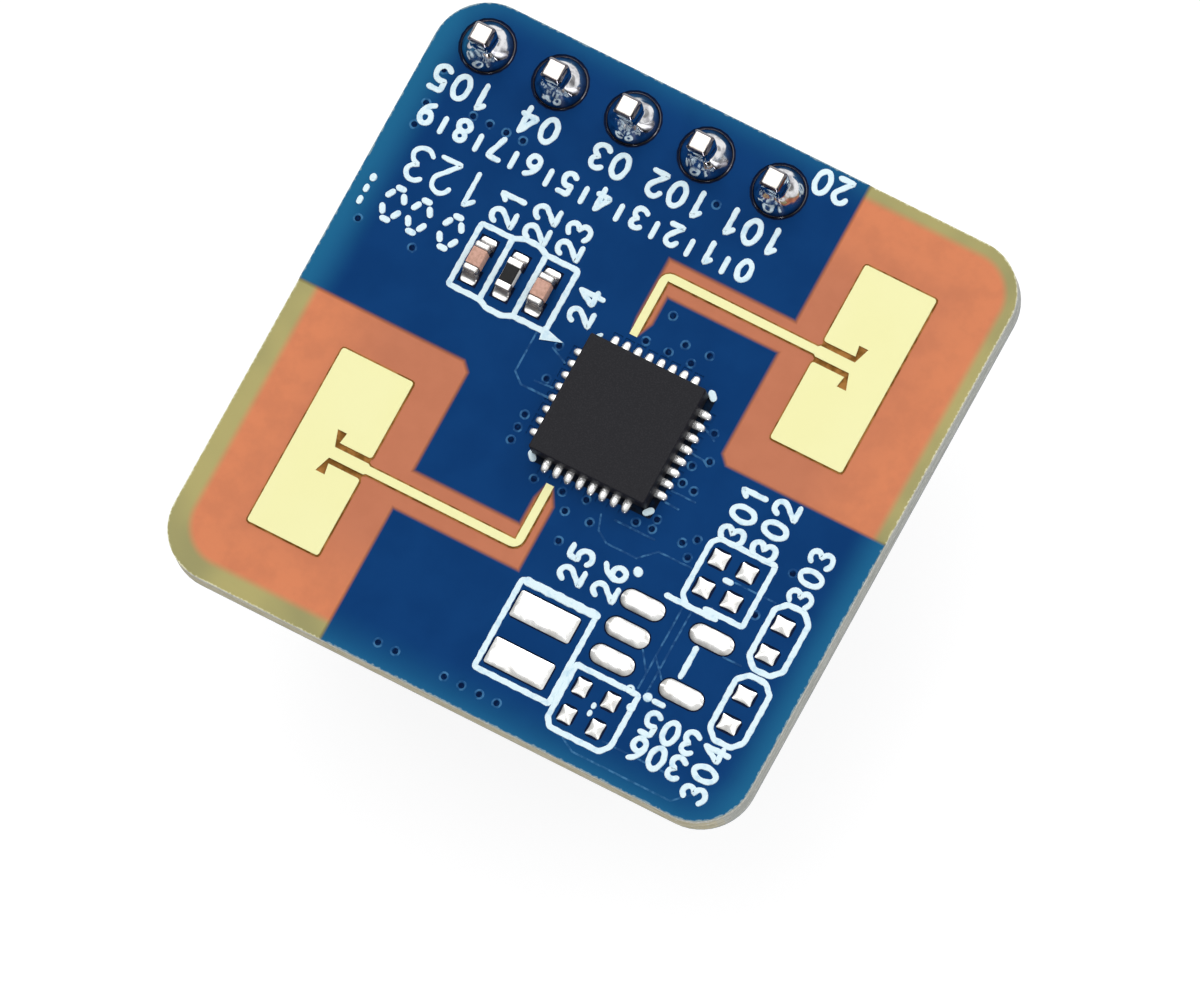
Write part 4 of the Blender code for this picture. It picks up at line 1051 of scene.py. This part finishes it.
class RadarPrint(bpy.types.PropertyGroup):
    """Screen print on the component face."""
    ink_colour: FloatVectorProperty(
        name="Ink", description="Colour of the print", subtype="COLOR", size=3,
        default=linear("#E4F8FF"))
    pen: FloatProperty(
        name="Line width", description="Width of frames", unit="LENGTH", default=0.2 * MM)
    digit_pen: FloatProperty(
        name="Digit line", description="Width of the digits' strokes", unit="LENGTH",
        default=0.19 * MM)
    thickness: FloatProperty(
        name="Ink thickness", description="Height of the ink on the mask", unit="LENGTH",
        default=0.012 * MM)


class RadarSolder(bpy.types.PropertyGroup):
    """Tin on the bare lands and solder round the header's pins."""
    crown: FloatProperty(
        name="Land crown", description="Height of the tin in a land's middle", unit="LENGTH",
        default=0.11 * MM)
    swell: FloatProperty(
        name="Cone swell", description="Share of the cone's height that is a rounded swell",
        default=0.12, min=0.0, max=1.0)


class RadarStage(bpy.types.PropertyGroup):
    """Camera, lamps and floor."""
    focal_length: FloatProperty(name="Focal length", description="Lens in millimetres", default=871.7)
    distance: FloatProperty(
        name="Distance", description="Camera to the aim point", unit="LENGTH", default=0.877)
    azimuth: FloatProperty(
        name="Azimuth", description="Camera's bearing, 0 looks along +Y", subtype="ANGLE",
        default=math.radians(54.58))
    elevation: FloatProperty(
        name="Elevation", description="Camera's height over the board", subtype="ANGLE",
        default=math.radians(72.9))
    roll: FloatProperty(
        name="Roll", description="Camera's turn about its line of sight", subtype="ANGLE",
        default=math.radians(26.79))
    aim: FloatVectorProperty(
        name="Aim", description="Point of the component face in the picture's middle", size=3,
        subtype="TRANSLATION", default=(1.45 * MM, -2.126 * MM, FACE * MM))
    sky: FloatProperty(name="Sky", description="Strength of the soft light all round", default=0.8)
    overhead: FloatProperty(name="Overhead", description="Power of the lamp above", subtype="POWER",
                            default=3.8)
    key: FloatProperty(name="Key", description="Power of the lamp behind the header", subtype="POWER",
                       default=3.0)
    side: FloatProperty(name="Side", description="Power of the lamp on the right", subtype="POWER",
                        default=2.0)
    low: FloatProperty(name="Low", description="Power of the lamp level with the walls",
                       subtype="POWER", default=4.0)


# Operators


class RADAR_OT_stage(bpy.types.Operator):
    """Set up the camera, the soft lamps, the sky and a plain pale floor."""
    bl_idname = "radar_module.stage"
    bl_label = "Stage"

    def execute(self, context):
        stage = context.scene.radar_stage
        context.scene.view_settings.view_transform = "Standard"
        toward, right, up = self.camera(context, stage)
        self.lamp(context, "overhead_softbox", (-toward.x, -toward.y, toward.z), 1.0, stage.overhead)
        self.lamp(context, "key_softbox", up + Vector((0, 0, 0.9)), 0.7, stage.key)
        beside = right * 0.8 + up * 0.5 + Vector((0, 0, 0.6))
        self.lamp(context, "side_softbox", beside, 0.5, stage.side)
        self.lamp(context, "low_softbox", (-up.x, -up.y, 0.14), 0.24, stage.low)
        self.sky(context, stage, (up * 0.45 + right * 0.3 + Vector((0, 0, 1))).normalized())
        self.floor(context)
        return {"FINISHED"}

    def camera(self, context, stage):
        """Camera at the photograph's angle, and its axes: back, right and up."""
        flat = math.cos(stage.elevation)
        back = Vector((math.sin(stage.azimuth) * flat, -math.cos(stage.azimuth) * flat,
                       math.sin(stage.elevation)))
        level = Vector((0, 0, 1)).cross(back).normalized()
        upright = back.cross(level)
        up = math.cos(stage.roll) * upright + math.sin(stage.roll) * level
        right = up.cross(back)
        data = bpy.data.cameras.new("camera")
        data.sensor_width = 36.0
        data.lens = stage.focal_length
        data.clip_end = 10.0
        made = bpy.data.objects.new("camera", data)
        context.scene.collection.objects.link(made)
        turn = Matrix((right, up, back)).transposed().to_4x4()
        made.matrix_world = Matrix.Translation(Vector(stage.aim) + back * stage.distance) @ turn
        context.scene.camera = made
        return back, right, up

    def lamp(self, context, name, direction, size, power):
        """Square lamp some way off in a direction, facing the board."""
        direction = Vector(direction).normalized()
        data = bpy.data.lights.new(name, "AREA")
        data.shape = "SQUARE"
        data.size = size
        data.energy = power
        made = bpy.data.objects.new(name, data)
        made.location = direction * LAMP_DISTANCE
        made.rotation_euler = direction.to_track_quat("Z", "Y").to_euler()
        context.scene.collection.objects.link(made)

    def sky(self, context, stage, crown):
        """Soft light from above, brightest at its crown and nearly dark opposite to it."""
        world = bpy.data.worlds.new("studio_sky")
        world.use_nodes = True
        tree = world.node_tree
        direction = add_node(tree, "TexCoord", {})
        height = add_node(tree, "VectorMath", {0: direction.outputs["Generated"], 1: crown},
                          operation="DOT_PRODUCT")
        shade = ranged(tree, height.outputs["Value"], -0.1, 0.85)
        colour = mixed(tree, shade, "#15171C", "#FFFFFF")
        background = tree.nodes["Background"]
        tree.links.new(colour, background.inputs["Color"])
        background.inputs["Strength"].default_value = stage.sky
        context.scene.world = world

    def floor(self, context):
        """Pale floor that keeps soft shadows and looks white where none falls."""
        half = FLOOR_HALF
        corners = [(-half, -half, 0), (half, -half, 0), (half, half, 0), (-half, half, 0)]
        mesh = bpy.data.meshes.new("floor")
        mesh.from_pydata(corners, [], [(0, 1, 2, 3)])
        mesh.materials.append(shared(pale_paper_floor))
        made = bpy.data.objects.new("floor", mesh)
        context.scene.collection.objects.link(made)


class RADAR_OT_board(bpy.types.Operator):
    """Finish the board's layers, masks and antennas, and line the antennas' edges."""
    bl_idname = "radar_module.board"
    bl_label = "Board and Antennas"

    def execute(self, context):
        board = context.scene.radar_board
        finish_nodes("core_laminate", shared(sawn_glass_epoxy))
        finish_nodes("front_laminate", shared(laminate_over_copper, board))
        finish_nodes("inner_ground_plane", shared(inner_copper_foil))
        finish_nodes("front_solder_mask", shared(solder_mask_lacquer, board))
        finish_nodes("back_solder_mask", shared(solder_mask_lacquer, board))
        brown = shared(etched_edge_shadow)
        for name in ("transmit_antenna", "receive_antenna"):
            finish_nodes(name, shared(immersion_gold, board))
            strip = hem(name, board.seam_width / MM, FACE - SINK, SEAT + SINK, SEAT + SINK)
            # Painted shadow: a brown line round the gold's etched edge
            piece(name + "_seam", [strip], brown)
            self.slot_floor(name, brown)
        # Lacquer thinning into the antennas' windows, with a painted shade at its foot
        film = hem("front_solder_mask", board.film_width / MM, FACE - SINK, FACE + SINK / 4,
                   MASK_TOP - SINK / 4, windows=True)
        piece("mask_edge_film", [film], shared(thinned_lacquer, board))
        self.opening_shade_floors(board)
        return {"FINISHED"}

    def slot_floor(self, name, material):
        """Floor in the same brown of painted shade, which shows in the slots beside the feed."""
        low, high = box_mm(name)
        side = 1 if low[0] + high[0] > 0 else -1
        start = (high[0] if side > 0 else low[0]) - side * PATCH_WIDTH
        middle = ((high[1] if side > 0 else low[1]) - side * PATCH_LENGTH / 2)
        ends = sorted((start, start + side * SLOT_REACH))
        plate = block((ends[0], middle - SLOT_HALF_WIDTH, FACE - SINK),
                      (ends[1], middle + SLOT_HALF_WIDTH, SEAT - SINK / 2), SINK, SINK / 4)
        piece(name + "_slot_floor", [plate], material)

    def opening_shade_floors(self, board):
        """Painted shade at the foot of the mask's openings: near black frames just under the mask
        round each bare land and round the header's solder, and plates under the front chip parts.
        Under the chip's leads the frame takes the lacquer's colour."""
        levels = (FACE - SINK, SEAT - SINK / 2)
        reach = OPENING_GAP + WELL_LAP
        skins = []
        for name in LANDS:
            half = plan_mm(name)[0] + reach
            radius = half[1] if name.startswith("converter") else 2 * reach
            skins.append(self.frame_round(name, radius, 2 * reach, levels))
        chip = self.frame_round("radar_chip", 2 * reach, LEAD_REACH + 4 * reach, levels)
        piece("chip_opening_floor", [chip], shared(solder_mask_lacquer, board))
        for name in nodes_like("header_solder_"):
            radius = plan_mm(name)[0][0] + reach
            skins.append(self.frame_round(name, radius, 2 * reach, levels))
        for name in nodes_like("front_capacitor_") + nodes_like("front_resistor_"):
            low, high = box_mm(name)
            plate = block((low[0] - reach, low[1] - reach, levels[0]),
                          (high[0] + reach, high[1] + reach, levels[1]), SINK, SINK / 4)
            skins.append(plate)
        # Painted shade: near black where the openings' feet lie in the lacquer's shadow
        piece("opening_shade_floors", skins, shared(painted_opening_shade))

    def frame_round(self, name, radius, width, levels):
        """Flat frame that reaches a little past a node on all sides."""
        half, middle, _ = plan_mm(name)
        half = half + (OPENING_GAP + WELL_LAP)
        return skin(moved(ring_strip(*half, radius, width, *levels), middle), loop=True)


class RADAR_OT_print(bpy.types.Operator):
    """Print the white frames, dots and plain numbers on the mask."""
    bl_idname = "radar_module.print"
    bl_label = "Screen Print"

    def execute(self, context):
        style = context.scene.radar_print
        ink = shared(screen_print_ink, style)
        pen, digit_pen = style.pen / MM, style.digit_pen / MM
        bottom, top = MASK_TOP - 3 * SINK, MASK_TOP + style.thickness / MM
        lines = [(path, pen, False) for path in FRAME_LINES]
        lines += [(path, pen, True) for path in FRAME_LOOPS]
        lines.append((COIL_FRAME_TOP, COIL_FRAME_TOP_W, False))
        frames = [ribbon(softened(path, closed, reach=1), width, bottom, top, closed, INK_RAGGED)
                  for path, width, closed in lines]
        piece("print_frames", staggered(frames), ink)
        levels = (bottom, top + 8 * INK_LAYER)
        numbers = []
        for text, centre, turn, height in NUMBERS:
            numbers += numerals(text, centre, turn, height, digit_pen, levels)
        numbers += numerals(MARK, MARK_PLACE, 180, MARK_HEIGHT, MARK_PEN, levels, MARK_STEP)
        numbers += self.scale(digit_pen, levels)
        piece("print_numbers", staggered(numbers), ink)
        levels = (bottom, top + 16 * INK_LAYER)
        dots = [ribbon([start, end], width, *levels) for start, end, width in DASHES]
        dots += self.dotted_digits(levels)
        dots.append(skin(lifted(np.array([POINTER, POINTER]), levels)))
        rings = turned(INKED_VIA_PROFILE, np.array(INKED_VIAS), MASK_TOP, 1, VIA_SIDES)
        dots.append(skin(rings, loop=True))
        piece("print_dots", staggered(dots), ink)
        return {"FINISHED"}

    def scale(self, pen, levels):
        """Plain scale: equal steps along x, a digit at each whole step and a tick between."""
        (x, y), end, height = SCALE_START, SCALE_END_X, SCALE_HEIGHT
        steps = 2 * len(SCALE_DIGITS) - 2
        skins = []
        for k in range(steps + 1):
            place = (x + (end - x) * k / steps, y)
            if k % 2:
                tick = [(place[0], y - height / 2), (place[0], y + height * 0.15)]
                skins.append(ribbon(tick, pen, *levels))
            else:
                skins += numerals(SCALE_DIGITS[k // 2], place, 180, height, pen, levels)
        return skins

    def dotted_digits(self, levels):
        """Noughts drawn as dots: leaf shaped dots at equal angles round an ellipse."""
        skins = []
        for centre in DOTTED_PLACES:
            angles = np.radians(np.arange(DOTTED_COUNT) * 360 / DOTTED_COUNT + 30)
            for angle in angles:
                at = np.array(centre) + DOTTED_RADII * (np.cos(angle), np.sin(angle))
                along = DOT_LENGTH / 2 * np.array([-np.sin(angle), np.cos(angle)])
                skins.append(ribbon([at - along, at + along], DOT_WIDTH, *levels))
        return skins


class RADAR_OT_vias(bpy.types.Operator):
    """Add the tented vias and the traces that lift the lacquer."""
    bl_idname = "radar_module.vias"
    bl_label = "Vias and Traces"

    def execute(self, context):
        board = context.scene.radar_board
        centres = np.concatenate([np.array(VIAS), *(
            np.array(start) + np.arange(count)[:, None] * step for start, step, count in VIA_ROWS)])
        covered = np.zeros(len(centres), bool)
        for name in BACK_PARTS:
            low, high = box_mm(name)
            inside = (centres > low[:2] - VIA_RIM) & (centres < high[:2] + VIA_RIM)
            covered |= inside.all(axis=1)
        thin = shared(lacquer_over_copper_with_highlight, board)
        # Dark discs of painted shade where the vias' bores lie
        dark = shared(tented_via_hole)
        faces = [("front", centres, MASK_TOP, 1), ("back", centres[~covered], BACK_MASK_LOW, -1)]
        for side, places, level, way in faces:
            rim = turned(VIA_RIM_PROFILE, places, level, way, VIA_SIDES)
            hole = turned(VIA_HOLE_PROFILE, places, level, way, HOLE_SIDES)
            piece(f"{side}_via_rims", [skin(rim, loop=True)], thin)
            piece(f"{side}_via_holes", [skin(hole)], dark)
        levels = (MASK_TOP - 3 * SINK, MASK_TOP + TRACE_LIFT - 3 * INK_LAYER)
        traces = [ribbon(path, TRACE_WIDTH, *levels) for path in TRACES]
        piece("buried_traces", staggered(traces), thin)
        return {"FINISHED"}


class RADAR_OT_lands(bpy.types.Operator):
    """Flow tin over the bare lands."""
    bl_idname = "radar_module.lands"
    bl_label = "Tinned Lands"

    def execute(self, context):
        crown = context.scene.radar_solder.crown / MM
        for name in LANDS:
            half, middle, foot = plan_mm(name)
            if 2 * max(half) < SMALL_LAND:
                rings = tent(half, crown)
            else:
                radius = half[1] if name.startswith("converter") else LAND_CORNER
                rings = pool(half, radius, crown)
            piece(name + "_tin", [skin(moved(rings, (*middle, foot)))], shared(levelled_tin),
                  [name])
        return {"FINISHED"}


class RADAR_OT_chip(bpy.types.Operator):
    """Mould the chip's package and flow solder round its leads."""
    bl_idname = "radar_module.chip"
    bl_label = "Radar Chip"

    def execute(self, context):
        low, high = box_mm("radar_chip")
        middle = (low + high)[:2] / 2
        half = (high[0] - low[0]) / 2 - LEAD_REACH
        body = block((middle[0] - half, middle[1] - half, low[2] + CHIP_STANDOFF),
                     (middle[0] + half, middle[1] + half, high[2]), CHIP_EDGE * 2, CHIP_EDGE)
        piece("radar_chip_body", [body], shared(moulded_epoxy), ["radar_chip"])
        leads = skin(moved(self.leads(half), (*middle, low[2])))
        pad = block((middle[0] - THERMAL_PAD / 2, middle[1] - THERMAL_PAD / 2, low[2]),
                    (middle[0] + THERMAL_PAD / 2, middle[1] + THERMAL_PAD / 2,
                     low[2] + CHIP_STANDOFF + SINK), SINK * 4, SINK)
        piece("radar_chip_leads", [leads, pad], shared(reflowed_paste), ["radar_chip"])
        # Painted shadow of the chip: a near black frame on the lacquer round its foot, shifted toward
        # +x and -y
        reach = half + SHADOW_LAP
        foot = ring_strip(reach, reach, SHADOW_LAP, SHADOW_WIDTH, MASK_TOP - SINK, MASK_TOP + SINK)
        piece("chip_foot_shadow", [skin(moved(foot, middle + SHADOW_SHIFT), loop=True)],
              shared(painted_chip_shadow))
        return {"FINISHED"}

    def leads(self, half):
        """Drops of solder at the leads: at each reach from the wall the section is a flat
        arch. Its half width and its height are superellipses of the reach."""
        share = np.array([0.0, 0.14, 0.3, 0.5, 0.68, 0.82, 0.91, 0.97, 1.0])
        length = LEAD_REACH - LEAD_SHORT
        reach = half - LEAD_UNDER + share * (LEAD_UNDER + length)
        out = np.clip((reach - half) / length, 0, 1)
        width = LEAD_WIDTH / 2 * (1 - out ** 4) ** 0.45 + LEAD_WIDTH / 20
        height = LEAD_TIP + (LEAD_CLIMB - LEAD_TIP) * (1 - out ** 4) ** 0.6
        height = height * np.where(share < 1, 1, 0.5)
        angle = np.linspace(0, TURN / 2, 9)
        x = np.broadcast_to(reach[:, None], (len(reach), len(angle)))
        y = width[:, None] * np.cos(angle)
        z = height[:, None] * np.maximum(np.sin(angle), 0) ** 0.3
        one = np.stack([x, y, z], axis=-1)
        offsets = (np.arange(CHIP_LEADS_PER_SIDE) - (CHIP_LEADS_PER_SIDE - 1) / 2) * LEAD_PITCH
        side = one[None] + offsets[:, None, None, None] * np.array([0, 1, 0])
        return np.concatenate([spun(side, quarter * 90) for quarter in range(4)])


class RADAR_OT_header(bpy.types.Operator):
    """Finish the header's pins and housing, and flow solder round each pin."""
    bl_idname = "radar_module.header"
    bl_label = "Header"

    def execute(self, context):
        swell = context.scene.radar_solder.swell
        finish_nodes("header_pin_", shared(tinned_brass), edge=0.03)
        finish_nodes("header_housing", shared(moulded_nylon), edge=0.04)
        for k, name in enumerate(nodes_like("header_solder_"), 1):
            half, middle, foot = plan_mm(name)
            rings = self.cone(half[0], foot, swell, k)
            piece(f"header_joint_{k}", [skin(moved(rings, middle), loop=True)],
                  shared(flowed_solder), [name])
        return {"FINISHED"}

    def cone(self, radius, bottom, swell, number):
        """Solder round a square pin, as rings from the barrel's foot up and back down the
        pin. A ring is a superellipse whose power grows from 2, a circle, to 9 at the pin.
        Its height over the rim, as a share of the cone's, is a quarter circle for the swell
        and a straight line for the rest, both of the share of the way in to the pin. It
        climbs higher by the lean on the side of the board's middle. A thin skin goes on up
        the pin and its taper."""
        neck = PIN_WIDTH / 2 + 2 * SOLDER_SKIN
        inner = PIN_TOP_WIDTH / 2 - 0.01
        foot, rim, top = radius - PAD_RIM, FACE + CONE_FOOT, FACE + CONE_HEIGHT
        way = np.linspace(0, 1, 15)
        climb = swell * np.sqrt(1 - (1 - way) ** 2) + (1 - swell) * way
        half = np.concatenate([[BARREL_RADIUS] * 2, [radius] * 2, [foot + 0.015, foot + 0.006],
                               foot + (neck - foot) * way[1:],
                               [neck - SOLDER_SKIN / 2, neck - SOLDER_SKIN, PIN_TOP_WIDTH / 2 + 0.02],
                               [inner, inner]])
        power = np.concatenate([[2] * 6, 2 + 2.5 * way[1:] ** 1.5, [6], [9] * 4])
        height = np.concatenate([[bottom, FACE + 0.01, FACE + 0.01, rim - 0.02, rim, rim - 0.015],
                                 rim + (top - rim) * climb[1:],
                                 [top + 0.08, PIN_TIP - PIN_TAPER, PIN_TIP - 0.012],
                                 [PIN_TIP - 0.02, bottom]])
        angle = np.arange(CONE_SIDES) * TURN / CONE_SIDES
        c, s = np.abs(np.cos(angle)), np.abs(np.sin(angle))
        reach = half[:, None] / (c ** power[:, None] + s ** power[:, None]) ** (1 / power[:, None])
        free = np.concatenate([[0] * 6, np.sin(TURN / 2 * way[1:]), [0] * 5])
        ripple = np.sin(3 * angle + 2 * number) + 0.6 * np.sin(5 * angle - number)
        reach = reach * (1 + 0.02 * free[:, None] * ripple)
        x, y = reach * np.cos(angle), reach * np.sin(angle)
        rise = (top - rim) * np.concatenate([[0] * 6, climb[1:], [1], [0] * 4])
        z = height[:, None] - CONE_LEAN * rise[:, None] * np.sin(angle)
        return np.stack([x, y, z], axis=-1)


class RADAR_OT_chip_parts(bpy.types.Operator):
    """Build the capacitors and resistors of both faces, with their ends and fillets."""
    bl_idname = "radar_module.chip_parts"
    bl_label = "Chip Parts"

    def execute(self, context):
        finishes = {"capacitor": (fired_tan_ceramic, "capacitor_ceramic"),
                    "resistor": (glazed_resistor, "resistor_glaze")}
        for kind, (make, slot) in finishes.items():
            for name in nodes_like(f"front_{kind}_") + nodes_like(f"back_{kind}_"):
                low, high = box_mm(name)
                middle = (low + high) / 2
                front = name.startswith("front")
                base = low[2] if front else high[2]
                tall = high[2] - low[2] - PART_LAND_T
                at = (middle[0], middle[1], base)
                body, chip, ends = ([(settled(points, at, front), faces) for points, faces in group]
                                    for group in self.part(tall, kind == "resistor"))
                piece(name + "_body", body, shared(make), [name])
                if chip:
                    piece(name + "_chip", chip, shared(pressed_alumina), [name])
                piece(name + "_ends", ends, shared(tin_plated_end), [name])
        return {"FINISHED"}

    def part(self, tall, flat):
        """Chip part along x: its body, the chip below a resistor's glaze, and its two end
        caps with their solder."""
        half, wide = PART_LENGTH / 2, PART_WIDTH / 2
        inner = half - PART_BAND + SINK
        slim = PART_BAND_T
        edge = RESISTOR_EDGE if flat else CAPACITOR_EDGE
        split, glaze = (tall * GLAZE_SPLIT, GLAZE_INSET) if flat else (0, 0)
        body = [block((-inner, slim + glaze - wide, PART_LAND_T + slim + split),
                      (inner, wide - slim - glaze, PART_LAND_T + tall - slim),
                      PART_CORNER, BODY_EDGE)]
        chip = []
        if flat:
            chip.append(block((-inner, slim - wide, PART_LAND_T + slim),
                              (inner, wide - slim, PART_LAND_T + split + 2 * slim),
                              PART_CORNER, BASE_EDGE))
        ends = []
        for side in (-1, 1):
            near, far = sorted((side * (half - PART_BAND), side * half))
            ends.append(block((near, -wide, PART_LAND_T), (far, wide, PART_LAND_T + tall), edge, edge))
            ends.append(skin(self.fillet(side, tall)))
        return body, chip, ends

    def fillet(self, side, tall):
        """Solder from the cap down to the land's end: the height falls as a power of the
        reach and rises again in a low lip, and the section is an arch of a high power with
        a hollow in its middle."""
        share = np.linspace(0, 1, 9)
        start = PART_LENGTH / 2 - PART_UNDER
        reach = start + share * (PART_UNDER + PART_REACH)
        out = np.clip((reach - PART_LENGTH / 2) / PART_REACH, 0, 1)
        height = PART_LAND_T + tall * PART_CLIMB * (1 - out) ** 3.2 + 0.03 * out ** 4
        height[-1] /= 2
        width = PART_LAND_WIDTH / 2 * (1 - 0.2 * out ** 5)
        angle = np.linspace(0, TURN / 2, 13)
        y = width[:, None] * np.sign(np.cos(angle)) * np.abs(np.cos(angle)) ** 0.6
        hollow = FILLET_HOLLOW * np.sin(TURN / 2 * out)[:, None] * np.sin(angle) ** 4
        z = height[:, None] * np.maximum(np.sin(angle), 0) ** 0.35 * (1 - hollow)
        x = side * np.broadcast_to(reach[:, None], y.shape)
        return np.stack([x, y, z], axis=-1)


class RADAR_OT_back_parts(bpy.types.Operator):
    """Build the clock crystal and the voltage regulator on the back."""
    bl_idname = "radar_module.back_parts"
    bl_label = "Crystal and Regulator"

    def execute(self, context):
        self.crystal()
        self.regulator()
        return {"FINISHED"}

    def crystal(self):
        """Two stacked blocks: a tray on the board and a lid drawn in from its edges."""
        low, high = box_mm("clock_crystal")
        split = high[2] - CRYSTAL_TRAY
        tray = block((*low[:2], split), high, 0.2, 0.03)
        lid = block((*(low[:2] + CRYSTAL_MARGIN), low[2]),
                    (*(high[:2] - CRYSTAL_MARGIN), split + SINK), 0.2, 0.06)
        node = ["clock_crystal"]
        piece("clock_crystal_tray", [tray], shared(glazed_tray), node)
        piece("clock_crystal_lid", [lid], shared(plated_lid), node)

    def regulator(self):
        """Body: rounded rectangles, widest at the parting line and drawn in above and below.
        Lead: a strip of four sided section carried along the bent line of its middle."""
        low, high = box_mm("voltage_regulator")
        middle = (low + high) / 2
        seat, top = high[2], low[2]
        half = (high - low)[:2] / 2 - (0, REGULATOR_REACH)
        parting = seat - REGULATOR_SPLIT
        inset = np.array([0.11, 0.05, 0.0, 0.0, 0.1, 0.16])[:, None]
        levels = [seat - 0.08, seat - 0.11, parting + 0.02, parting - 0.02, top + 0.05, top]
        outlines = rounded(half[0] - inset, half[1] - inset, np.full_like(inset, 0.08))
        body = skin(moved(lifted(outlines, levels), middle[:2]))
        node = ["voltage_regulator"]
        piece("voltage_regulator_body", [body], shared(moulded_epoxy), node)
        start, tip = half[1] - 0.1, half[1] + REGULATOR_REACH
        path = np.array([(start, parting), (half[1] + 0.07, parting), (half[1] + 0.16, parting + 0.03),
                         (tip - 0.38, seat - 0.16), (tip - 0.3, seat - 0.08), (tip, seat - 0.075)])
        leads = []
        for side, step in ((-1, -1), (-1, 0), (-1, 1), (1, -1), (1, 1)):
            strip = self.lead(path, REGULATOR_LEAD_W, 0.15)
            strip[..., 1] *= side
            at = (middle[0] + step * REGULATOR_PITCH, middle[1])
            leads.append(skin(moved(strip, at)))
        piece("voltage_regulator_leads", leads, shared(tinned_brass), node)

    def lead(self, path, width, thickness):
        """Rings of a flat strip along a path of reach and height."""
        edges = np.diff(path, axis=0)
        edges /= np.linalg.norm(edges, axis=1)[:, None]
        tangent = np.concatenate([edges[:1], edges]) + np.concatenate([edges, edges[-1:]])
        normal = tangent[:, ::-1] * (-1, 1)
        normal *= thickness / 2 / np.linalg.norm(normal, axis=1)[:, None]
        outer, inner = path + normal, path - normal
        rings = []
        for side, line in ((-0.5, outer), (0.5, outer), (0.5, inner), (-0.5, inner)):
            x = np.full(len(path), side * width)
            rings.append(np.stack([x, line[:, 0], line[:, 1]], axis=-1))
        return np.stack(rings, axis=1)


class RADAR_PT_panel(bpy.types.Panel):
    """Buttons for each group of pieces of the radar sensor module."""
    bl_idname = "RADAR_PT_panel"
    bl_label = "Radar Module"
    bl_space_type = "VIEW_3D"
    bl_region_type = "UI"
    bl_category = "Radar Module"

    def draw(self, context):
        for operator in OPERATORS:
            self.layout.operator(operator.bl_idname)
        for group in GROUPS:
            settings = getattr(context.scene, group)
            for prop in settings.bl_rna.properties:
                if prop.identifier not in ("rna_type", "name"):
                    self.layout.prop(settings, prop.identifier)


GROUPS = {"radar_board": RadarBoard, "radar_print": RadarPrint, "radar_solder": RadarSolder,
          "radar_stage": RadarStage}
OPERATORS = (RADAR_OT_stage, RADAR_OT_board, RADAR_OT_print, RADAR_OT_vias, RADAR_OT_lands,
             RADAR_OT_chip, RADAR_OT_header, RADAR_OT_chip_parts, RADAR_OT_back_parts)


def register():
    for cls in (*GROUPS.values(), *OPERATORS, RADAR_PT_panel):
        bpy.utils.register_class(cls)
    for name, group in GROUPS.items():
        setattr(bpy.types.Scene, name, PointerProperty(type=group))


def unregister():
    for name in GROUPS:
        delattr(bpy.types.Scene, name)
    for cls in (RADAR_PT_panel, *OPERATORS[::-1], *GROUPS.values()):
        bpy.utils.unregister_class(cls)


def main():
    register()
    bpy.ops.radar_module.stage()
    bpy.ops.radar_module.board()
    bpy.ops.radar_module.print()
    bpy.ops.radar_module.vias()
    bpy.ops.radar_module.lands()
    bpy.ops.radar_module.chip()
    bpy.ops.radar_module.header()
    bpy.ops.radar_module.chip_parts()
    bpy.ops.radar_module.back_parts()


if __name__ == "__main__":
    main()
